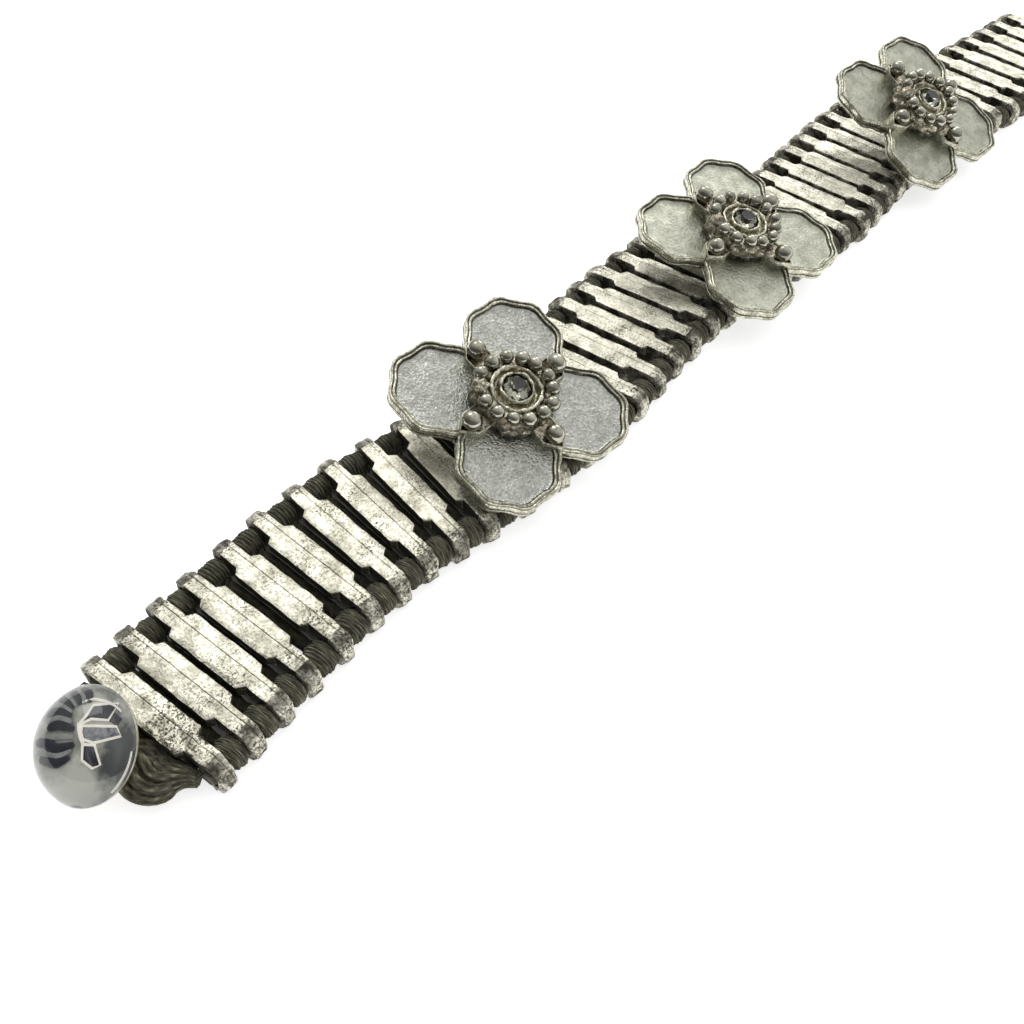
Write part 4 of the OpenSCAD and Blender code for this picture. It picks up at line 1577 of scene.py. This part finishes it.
@dataclass
class ButtonCord:
    """The bundle of yarn from the first bar through the button's eye.

    Attributes:
        strip: The strip that it leaves.
        route: Along, across, height, half width and half height, before the strip is centred.
        fronts: Points of the loose strands in front of it.
        in_shadow: The first of them that lies in the bar's shadow, counted from zero.
        front_r: Radius of these strands.
        strands: Number of strands that show round it.
        turn_mm: Length in which they make a turn.
        core_share: Size of its core, as a share of its own.
        strand_r: A strand's radius at no width, its growth with the half width, and its most.
        slimmest: Radius of a loose strand's ends, as a share of its own.
    """

    strip: Strip
    route: tuple[tuple[float, ...], ...] = (
        (-0.75, -8.35, 1.9, 0.6, 0.8), (-1.33, -7.35, 1.85, 0.9, 1.0), (-2.05, -6.6, 1.75, 1.5, 1.2),
        (-2.8, -6.1, 1.7, 2.2, 1.3), (-3.3, -5.25, 1.65, 2.5, 1.35), (-3.5, -4.3, 1.65, 2.4, 1.35),
        (-3.75, -3.2, 1.7, 2.0, 1.3), (-3.84, -2.3, 1.85, 1.2, 1.0), (-3.84, -1.6, 2.0, 0.8, 0.8),
        (-3.84, -0.2, 2.0, 0.8, 0.8), (-3.9, 1.4, 1.9, 0.9, 0.9), (-3.9, 3.2, 1.8, 1.0, 1.0),
        (-3.1, 4.4, 1.8, 1.0, 1.0), (-1.9, 4.9, 1.9, 0.75, 0.75),
    )
    fronts: tuple[tuple[tuple[float, float, float], ...], ...] = (
        (
            (-0.75, -8.2, 1.9), (-1.35, -6.6, 2.1), (-1.5, -5.0, 2.2),
            (-1.6, -3.4, 2.1), (-2.2, -2.2, 2.0), (-3.3, -1.4, 2.0),
        ),
        (
            (-0.8, -8.2, 1.3), (-1.4, -6.6, 1.2), (-1.55, -5.0, 1.1),
            (-1.7, -3.4, 1.1), (-2.4, -2.2, 1.4), (-3.4, -1.4, 1.8),
        ),
        (
            (-1.1, -7.6, 2.3), (-1.9, -6.0, 2.5), (-2.3, -4.6, 2.5),
            (-2.6, -3.3, 2.4), (-3.0, -2.2, 2.2), (-3.6, -1.4, 2.1),
        ),
        (
            (-0.6, -8.2, 1.6), (-0.68, -7.4, 1.7), (-0.9, -6.4, 1.6),
            (-1.5, -5.2, 1.5), (-1.8, -4.0, 1.4), (-2.4, -3.0, 1.4),
        ),
        (
            (-0.8, -7.0, 1.2), (-0.95, -5.8, 1.25), (-1.1, -4.4, 1.3),
            (-1.3, -2.8, 1.3), (-1.55, -1.2, 1.3), (-2.1, 0.2, 1.4),
        ),
        ((-1.4, -4.6, 2.0), (-1.75, -3.2, 1.95), (-1.9, -1.8, 1.9), (-2.1, -0.6, 1.8), (-2.6, 0.6, 1.8)),
    )
    in_shadow: int = 4
    front_r: float = 0.48
    strands: int = 9
    turn_mm: float = 26.0
    core_share: float = 0.72
    strand_r: tuple[float, float, float] = (0.24, 0.16, 0.5)
    slimmest: float = 0.7

    def build(self) -> None:
        """Lays the bundle's core and its strands."""
        rows = smooth_route(self.route, 4)
        points = [Vector(row[:3]) - self.strip.centre for row in rows]
        bm = bmesh.new()
        core = [(row[3] * self.core_share, row[4] * self.core_share) for row in rows]
        join_in(bm, tube(frames_along(points, core, upright=True), 14))
        frames = frames_along(points, [(row[3], row[4]) for row in rows], upright=True)
        thin, growth, most = self.strand_r
        radii = [min(thin + growth * row[3], most) for row in rows]
        outs = [1 - radius / (0.5 * (row[3] + row[4])) for radius, row in zip(radii, rows)]
        shrunk = [here @ Matrix.Diagonal((out, out, 1, 1)) for here, out in zip(frames, outs)]
        lay_strands(bm, shrunk, self.strands, 1.0, radii, self.turn_mm, 10, 5)
        for k, front in enumerate(self.fronts):
            fine = [point - self.strip.centre for point in smooth_route(front, 4)]
            bellies = [math.sin(math.pi * i / (len(fine) - 1)) for i in range(len(fine))]
            shares = [self.slimmest + (1 - self.slimmest) * belly for belly in bellies]
            halves = [(self.front_r * share, self.front_r * share) for share in shares]
            # Strands in the bar's shadow take the yarn painted dark as shade
            shaded_skin = 1 if k >= self.in_shadow else 0
            join_in(bm, tube(frames_along(fine, halves), 10, shaded_skin))
        finish_piece(bm, "button_bundle", [CORD_YARN, SHADED_YARN], Slot.CORD, "button_cord")


@dataclass
class ClosingLoop:
    """The twisted loop beyond the last bar, and the knot that binds its neck.

    Attributes:
        strip: The strip that it leaves.
        half_route: Along, across and height of one half, in the last bar's frame.
        cord_r: Radius of the loop's cord.
        turn_mm: Length in which its three strands make a turn.
        knot_from: Where the knot starts, from the last bar's middle.
        knot_len: Its length.
        knot_half_h: Its half height.
        knot_z: Height of its middle.
        strand_y: Half the distance of the two cords that it binds.
        knot_turns: Turns of its yarn.
        knot_yarn_r: Radius of its yarn.
    """

    strip: Strip
    half_route: tuple[tuple[float, float, float], ...] = (
        (1.15, 6.85, 1.9), (1.7, 6.85, 1.9), (2.5, 5.9, 1.8), (3.8, 3.8, 1.8), (5.2, 1.8, 1.8),
        (6.6, 0.95, 1.8), (9.4, 0.95, 1.8), (10.8, 1.9, 1.5), (12.6, 4.1, 1.1), (14.8, 5.7, 0.95),
        (17.2, 6.0, 0.95), (19.4, 4.7, 0.95), (20.7, 2.5, 0.95), (21.1, 0, 0.95),
    )
    cord_r: float = 0.85
    turn_mm: float = 4.6
    knot_from: float = 7.0
    knot_len: float = 2.2
    knot_half_h: float = 1.7
    knot_z: float = 1.8
    strand_y: float = 0.95
    knot_turns: int = 4
    knot_yarn_r: float = 0.3

    def build(self) -> None:
        """Twists the loop and binds the knot."""
        there = [Vector(row) for row in self.half_route]
        back = [Vector((row.x, -row.y, row.z)) for row in reversed(there[:-1])]
        seat = self.strip.on(BAR_PLACES)
        points = [seat @ point for point in smooth_route(there + back, 6)]
        frames = frames_along(points, round_halves(self.cord_r, len(points)), upright=True)
        bm = bmesh.new()
        lay_strands(bm, frames, 3, 0.5, [self.cord_r * 0.5] * len(points), self.turn_mm, 8, 2)
        finish_piece(bm, "closing_loop", [CORD_YARN], Slot.CORD, "loop_cord")
        self.bind()

    def bind(self) -> None:
        """Winds the knot's yarn round both strands at the neck."""
        seat = self.strip.on(BAR_PLACES)
        bm = bmesh.new()
        reach, high = self.strand_y, self.knot_half_h - self.knot_yarn_r
        steps, points = 28, []
        perimeter = 4 * reach + FULL_TURN * high
        for k in range(self.knot_turns * steps + 1):
            share = k / (self.knot_turns * steps)
            run = (k / steps % 1.0) * perimeter
            x = self.knot_from + self.knot_yarn_r + (self.knot_len - 2 * self.knot_yarn_r) * share
            points.append(seat @ (Vector((x, 0, self.knot_z)) + self.stadium_point(run, reach, high)))
        join_in(bm, tube(frames_along(points, round_halves(self.knot_yarn_r, len(points))), 8))
        along = (0.15, 1.1, self.knot_len - 0.15)
        shell = [seat @ Vector((self.knot_from + x, 0, self.knot_z)) for x in along]
        halves = [(reach + high - 0.1, high - 0.05)] * 3
        join_in(bm, tube(frames_along(shell, halves, upright=True), 20))
        finish_piece(bm, "bound_knot", [CORD_YARN], Slot.CORD, "loop_knot")

    @staticmethod
    def stadium_point(run: float, reach: float, high: float) -> Vector:
        """Returns the point at a distance round an outline of two half circles and two flats.

        Args:
            run: The distance.
            reach: Half the length of a flat.
            high: Radius of the half circles.

        Returns:
            The point, in the plane that the cords cross.
        """
        flat, bend = 2 * reach, math.pi * high
        if run < flat:
            return Vector((0, -reach + run, high))
        run -= flat
        if run < bend:
            angle = run / high
            return Vector((0, reach + high * math.sin(angle), high * math.cos(angle)))
        run -= bend
        if run < flat:
            return Vector((0, reach - run, -high))
        angle = (run - flat) / high
        return Vector((0, -reach - high * math.sin(angle), -high * math.cos(angle)))


# ---------------------------------------------------------------- the button


@dataclass
class Button:
    """The domed glass button with a drawn motif in its base, and its eye plate.

    Attributes:
        strip: The strip that it closes.
        at: Its middle before the strip is centred.
        lean: Its lean away from the first bar, in degrees.
        radius: Radius of the glass.
        dome_h: Height of the dome above its edge.
        edge: Height of the straight edge.
        motif_z: Height of the drawing, from the dome's edge.
        plate_r: Radius of the back plate.
        plate_h: Its thickness.
        plate_top: Height of its top.
        eye_drop: Distance of the eye's middle below the plate.
        eye_r: Outer radius of the eye.
        eye_hole_r: Radius of its hole.
        eye_w: Its width.
        line: Half width and half height of the silver lines round the petals.
        swell: How far strokes, bands and glints grow from their ends to their middle.
        shades: Along, across, width and depth of the backing's painted shade and painted highlights.
    """

    strip: Strip
    at: tuple[float, float, float] = (-5.45, -0.9, 4.3)
    lean: float = 35.0
    radius: float = 4.8
    dome_h: float = 3.2
    edge: float = 0.4
    motif_z: float = -0.24
    plate_r: float = 4.6
    plate_h: float = 0.45
    plate_top: float = -0.45
    eye_drop: float = 1.9
    eye_r: float = 1.6
    eye_hole_r: float = 1.0
    eye_w: float = 1.4
    line: tuple[float, float] = (0.09, 0.04)
    swell: tuple[float, float, float] = (0.27, 0.12, 0.05)
    shades: tuple[tuple[float, float, float, float], ...] = (
        (0.1, -2.8, 1.4, 0.35), (-2.2, -1.5, 1.6, -0.3), (2.9, 0.9, 1.0, -0.3), (-3.2, 0.8, 1.2, -0.15),
        (2.4, -2.6, 1.3, 0.2), (-3.9, -2.5, 0.7, 0.6),
    )

    def seat(self) -> Matrix:
        """Returns the matrix that carries the button's own frame to its place."""
        return Matrix.Translation(Vector(self.at) - self.strip.centre) @ turned_by(-self.lean, "Y")

    def dome(self) -> Mesh:
        """Turns the glass dome."""
        ball_r = (self.radius**2 + self.dome_h**2) / (2 * self.dome_h)
        drop = ball_r - self.dome_h
        widest = math.asin(self.radius / ball_r)
        arc = [
            (ball_r * math.sin(widest * k / 20), ball_r * math.cos(widest * k / 20) - drop)
            for k in range(21)
        ]
        low = -self.edge
        profile = [*arc, (self.radius, low + 0.12), (self.radius - 0.12, low), (0, low)]
        return spun(profile, 96)

    def drawn(
        self, points: Sequence[Sequence[float]], halves: Sequence[tuple[float, float]], closed: bool = False
    ) -> Mesh:
        """Draws a flat line in the glass's base.

        Args:
            points: Along and across of its points.
            halves: Its half width and half height at each.
            closed: Whether it comes back to its first point.

        Returns:
            The line on the button's own middle.
        """
        route = [Vector((point[0], point[1], self.motif_z)) for point in points]
        if closed:
            route = [*route, route[0]]
        return tube(frames_along(route, halves, upright=True), 8)

    def motif(self) -> list[Mesh]:
        """Draws the fan of strokes, the outlined petals and two painted highlights.

        Returns:
            The dark parts, the silver lines with the painted highlights, the smoky fill and the pale bands.
        """
        dark, silver, smoke, pale = (bmesh.new() for _ in range(4))
        stroke_swell, band_swell, glint_swell = self.swell
        smoky, unlined, thick = 2, 1, 0.05
        outlines = (
            ((0.62, 1.05), (1.5, 1.01), (2.33, 1.13), (4.05, -0.3), (2.45, -0.46), (1.57, 0.61)),
            ((3.16, -0.2), (3.3, -1.24), (2.64, -1.25), (2.39, -0.51)),
            ((0.83, 0.81), (2.61, -1.28), (2.41, -2.06), (0.63, -0.56), (0.25, 0.35)),
            ((0.08, 0.02), (-0.62, -0.6), (-0.55, -1.55), (-0.03, -1.92), (0.58, -0.73)),
        )
        for number, outline in enumerate(outlines):
            fill = smoke if number == smoky else dark
            face = fill.faces.new([fill.verts.new((x, y, self.motif_z - 0.06)) for x, y in outline])
            thicken(fill, [face], (0, 0, thick))
            if number != unlined:
                join_in(silver, self.drawn(outline, [self.line] * (len(outline) + 1), closed=True))
        hub = ((0.05, -0.15), (0.3, 0.35), (0.6, 0.85), (0.8, 1.15))
        join_in(silver, self.drawn(hub, [(0.08, 0.04), (0.17, 0.05), (0.15, 0.05), (0.06, 0.04)]))
        # Painted highlights: a bright arc round the upper petals and a caustic crescent near the rim, drawn
        # in silver
        glints = (
            ((1.9, 1.85), (2.6, 1.5), (3.15, 0.75), (3.6, -0.1), (3.75, -0.9)),
            ((2.3, -3.63), (1.5, -4.03), (0.6, -4.26), (-0.3, -4.29), (-1.0, -4.18)),
        )
        for glint in glints:
            join_in(silver, self.swelling(glint, 4, glint_swell))
        strokes = (
            ((2.67, 2.93), (2.68, 2.03), (2.2, 1.49)),
            ((1.91, 3.29), (1.88, 2.43), (1.64, 1.84)),
            ((0.95, 3.4), (1.16, 2.85), (1.19, 1.99)),
            ((-0.28, 3.07), (0.42, 2.64), (0.79, 1.79)),
            ((-0.75, 2.39), (-0.12, 2.02), (0.33, 1.08)),
            ((-1.78, 2.41), (-1.32, 2.0), (-1.15, 1.19), (-0.28, 0.48)),
            ((-2.26, 1.63), (-1.95, 1.22), (-1.7, 0.68), (-0.99, 0.24)),
        )
        for before, stroke in zip((None, *strokes), strokes):
            join_in(dark, self.swelling(stroke, 5, stroke_swell))
            if before:
                marks = [(row[0], row[len(row) // 2], row[-1]) for row in (before, stroke)]
                between = [(Vector(a) + Vector(b)) / 2 for a, b in zip(*marks)]
                join_in(pale, self.swelling(between, 5, band_swell))
        for fill in (dark, smoke, pale):
            bmesh.ops.recalc_face_normals(fill, faces=fill.faces[:])
        return [dark, silver, smoke, pale]

    def swelling(self, points: Sequence[Sequence[float]], steps: int, most: float) -> Mesh:
        """Draws a smooth line in the glass's base, widest in its middle.

        Args:
            points: Along and across of its points.
            steps: Number of steps from one to the next.
            most: How much its half width grows in the middle.

        Returns:
            The line on the button's own middle.
        """
        least, high = 0.06, 0.04
        fine = smooth_route(points, steps)
        shares = [0.1 + 0.8 * k / (len(fine) - 1) for k in range(len(fine))]
        return self.drawn(fine, [(least + most * math.sin(math.pi * share), high) for share in shares])

    def backing(self) -> Mesh:
        """Turns the foil under the glass, with its painted shade and painted highlights."""
        low = -self.edge
        disc = [(radius, low + 0.06) for radius in (0, 0.8, 1.6, 2.4, 3.2, 3.9, 4.5)]
        bm = spun([*disc, (4.62, low + 0.04), (4.62, low + 0.02), (0, low + 0.02)], 72)
        # Painted shade and highlights, as dark and light places in the foil
        depth = bm.verts.layers.float.new("depth")
        for vert in bm.verts:
            vert[depth] = sum(
                deep * math.exp(-((vert.co.x - x) ** 2 + (vert.co.y - y) ** 2) / wide**2)
                for x, y, wide, deep in self.shades
            )
        return bm

    def eye_plate(self) -> Mesh:
        """Turns the back plate and sets the eye under it."""
        top, low, rim = self.plate_top, self.plate_top - self.plate_h, self.plate_r
        plate = (
            (0, top), (rim - 0.1, top), (rim, top - 0.1), (rim, low + 0.12), (rim - 0.12, low), (1.9, low),
            (1.6, low - 0.12), (0, low - 0.12),
        )
        bm = spun(plate, 64)
        middle = low - self.eye_drop
        outer, inner, half = self.eye_r, self.eye_hole_r, self.eye_w / 2
        ring = (
            (outer, half - 0.2), (outer - 0.2, half), (inner + 0.15, half), (inner, half - 0.15),
            (inner, -half + 0.15), (inner + 0.15, -half), (outer - 0.2, -half), (outer, -half + 0.2),
            (outer, half - 0.2),
        )
        join_in(bm, spun(ring, 40), Matrix.Translation((0, 0, middle)) @ turned_by(90, "X"))
        neck = bmesh.new()
        verts = bmesh.ops.create_cube(neck, size=1)["verts"]
        tall = self.eye_drop - inner - 0.05
        bmesh.ops.scale(neck, vec=(2 * inner, self.eye_w, tall), verts=verts)
        bmesh.ops.translate(neck, vec=(0, 0, low - tall / 2 + 0.05), verts=verts)
        soften(neck, 0.12, 2)
        join_in(bm, neck)
        bm.normal_update()
        return bm

    def build(self) -> None:
        """Makes the glass, its motif and backing, and the eye plate."""
        seat = self.seat()
        glass = self.dome()
        glass.transform(seat)
        finish_piece(glass, "glass_dome", [DOME_GLASS], Slot.GLASS, "button_dome")
        # The silver lines carry the painted highlights too
        names = ("dome_strokes", "dome_outlines_and_painted_highlights", "dome_smoke", "dome_bands", "dome_backing")
        paints = (SLATE_PAINT, SILVER_LINE, SMOKE_FOIL, PALE_FOIL, BACKING_FOIL)
        for name, finish, bm in zip(names, paints, (*self.motif(), self.backing())):
            bm.transform(seat)
            finish_piece(bm, name, [finish], Slot.GLASS)
        plate = self.eye_plate()
        plate.transform(seat)
        finish_piece(plate, "eye_plate", [BAR_METAL], Slot.CAST, "button_shank")


# ---------------------------------------------------------------- the studio


@dataclass
class Studio:
    """White table, soft light and the photograph's view.

    Attributes:
        eye: The camera's place in millimetres.
        ahead: Direction of its view.
        right: Direction to the right of its picture.
        lens: Focal length in millimetres.
        sensor: Width of the camera's sensor in millimetres.
        near: Least distance that the camera sees, in metres.
        bright_side: Direction in which the room is brightest.
        room: Strength of the room's light behind the camera and on its bright side.
        fade: Share of facing the bright side at which the light starts to grow and is full.
        key: Place of the key lamp in metres, its size and its power in watts.
        far: The same of the lamp beyond the far end.
        table_half: Half the table's length in metres.
    """

    eye: tuple[float, float, float] = (-101.141, -49.029, 80.682)
    ahead: tuple[float, float, float] = (0.48093, 0.41394, -0.77289)
    right: tuple[float, float, float] = (0.67768, -0.73482, 0.02813)
    lens: float = 36.914
    sensor: float = 36.0
    near: float = 0.005
    bright_side: tuple[float, float, float] = (0.75, 0.2, 0.63)
    room: tuple[float, float] = (0.14, 1.08)
    fade: tuple[float, float] = (-0.2, 0.95)
    key: tuple[tuple[float, float, float], float, float] = ((0.26, 0.62, 0.85), 0.5, 2.0)
    far: tuple[tuple[float, float, float], float, float] = ((1.1, 0.45, 0.5), 0.5, 1.9)
    table_half: float = 3.0

    def table(self) -> None:
        """Lays the white table that the strip rests on."""
        bm = bmesh.new()
        bmesh.ops.create_grid(bm, x_segments=2, y_segments=2, size=self.table_half)
        mesh = stored(bm, "table_top")
        mesh.materials.append(Table("white_card").material())
        top = linked("table_top", mesh)

    def softbox(self, name: str, at: tuple[float, float, float], size: float, power: float) -> None:
        """Hangs a square lamp that faces the bracelet's middle.

        Args:
            name: The lamp's name.
            at: Its place in metres.
            size: Its side in metres.
            power: Its power in watts.
        """
        lamp = bpy.data.lights.new(name, "AREA")
        lamp.shape = "SQUARE"
        lamp.size = size
        lamp.energy = power
        holder = linked(name, lamp)
        turned = (-Vector(at)).to_track_quat("-Z", "Y").to_matrix().to_4x4()
        holder.matrix_world = Matrix.Translation(at) @ turned

    def light(self) -> None:
        """Hangs the lamps and greys the room round them."""
        self.softbox("key_softbox", *self.key)
        self.softbox("far_softbox", *self.far)
        world = bpy.data.worlds.new("studio")
        bpy.context.scene.world = world
        world.use_nodes = True
        tree = world.node_tree
        facing = add_node(tree, "ShaderNodeTexCoord").outputs["Generated"]
        sockets = {0: facing, 1: self.bright_side}
        towards = add_node(tree, "ShaderNodeVectorMath", sockets, operation="DOT_PRODUCT")
        strength = ranged(tree, towards.outputs["Value"], *self.fade, *self.room)
        background = tree.nodes["Background"]
        background.inputs["Color"].default_value = (1, 1, 1, 1)
        tree.links.new(strength, background.inputs["Strength"])

    def camera(self) -> None:
        """Sets the photograph's camera."""
        data = bpy.data.cameras.new("photo_camera")
        data.lens = self.lens
        data.sensor_width = self.sensor
        data.clip_start = self.near
        holder = linked("photo_camera", data)
        ahead = Vector(self.ahead).normalized()
        right = (Vector(self.right) - ahead * Vector(self.right).dot(ahead)).normalized()
        turned = Matrix((right, right.cross(ahead), -ahead)).transposed().to_4x4()
        holder.matrix_world = Matrix.Translation(Vector(self.eye) * MM) @ turned
        bpy.context.scene.camera = holder

    def build(self) -> None:
        """Sets camera, table, light and plain colours."""
        self.camera()
        self.table()
        self.light()
        bpy.context.scene.view_settings.view_transform = "Standard"


def main() -> None:
    """Builds the bracelet in order and reports each piece."""
    logging.basicConfig(level=logging.INFO, format="%(name)s: %(message)s")
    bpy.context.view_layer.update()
    Studio().build()
    strip = Strip()
    bar = CastBar(strip)
    bar.build()
    # Shift along and across, lift, lean and spin of each flower
    seats = (((0.3, -0.1), 6.4, 18.3, -2.5), ((0.6, -2.4), 6.2, 13.0, 3.0), ((-0.6, -3.6), 6.8, 25.0, -3.0))
    for number, (place, (shift, lift, lean, spin)) in enumerate(zip(FLOWER_PLACES, seats), start=1):
        Flower(strip, bar, number, place, shift, lift, lean, spin).build()
    Threading(strip).build()
    ButtonCord(strip).build()
    ClosingLoop(strip).build()
    Button(strip).build()


if __name__ == "__main__":
    main()
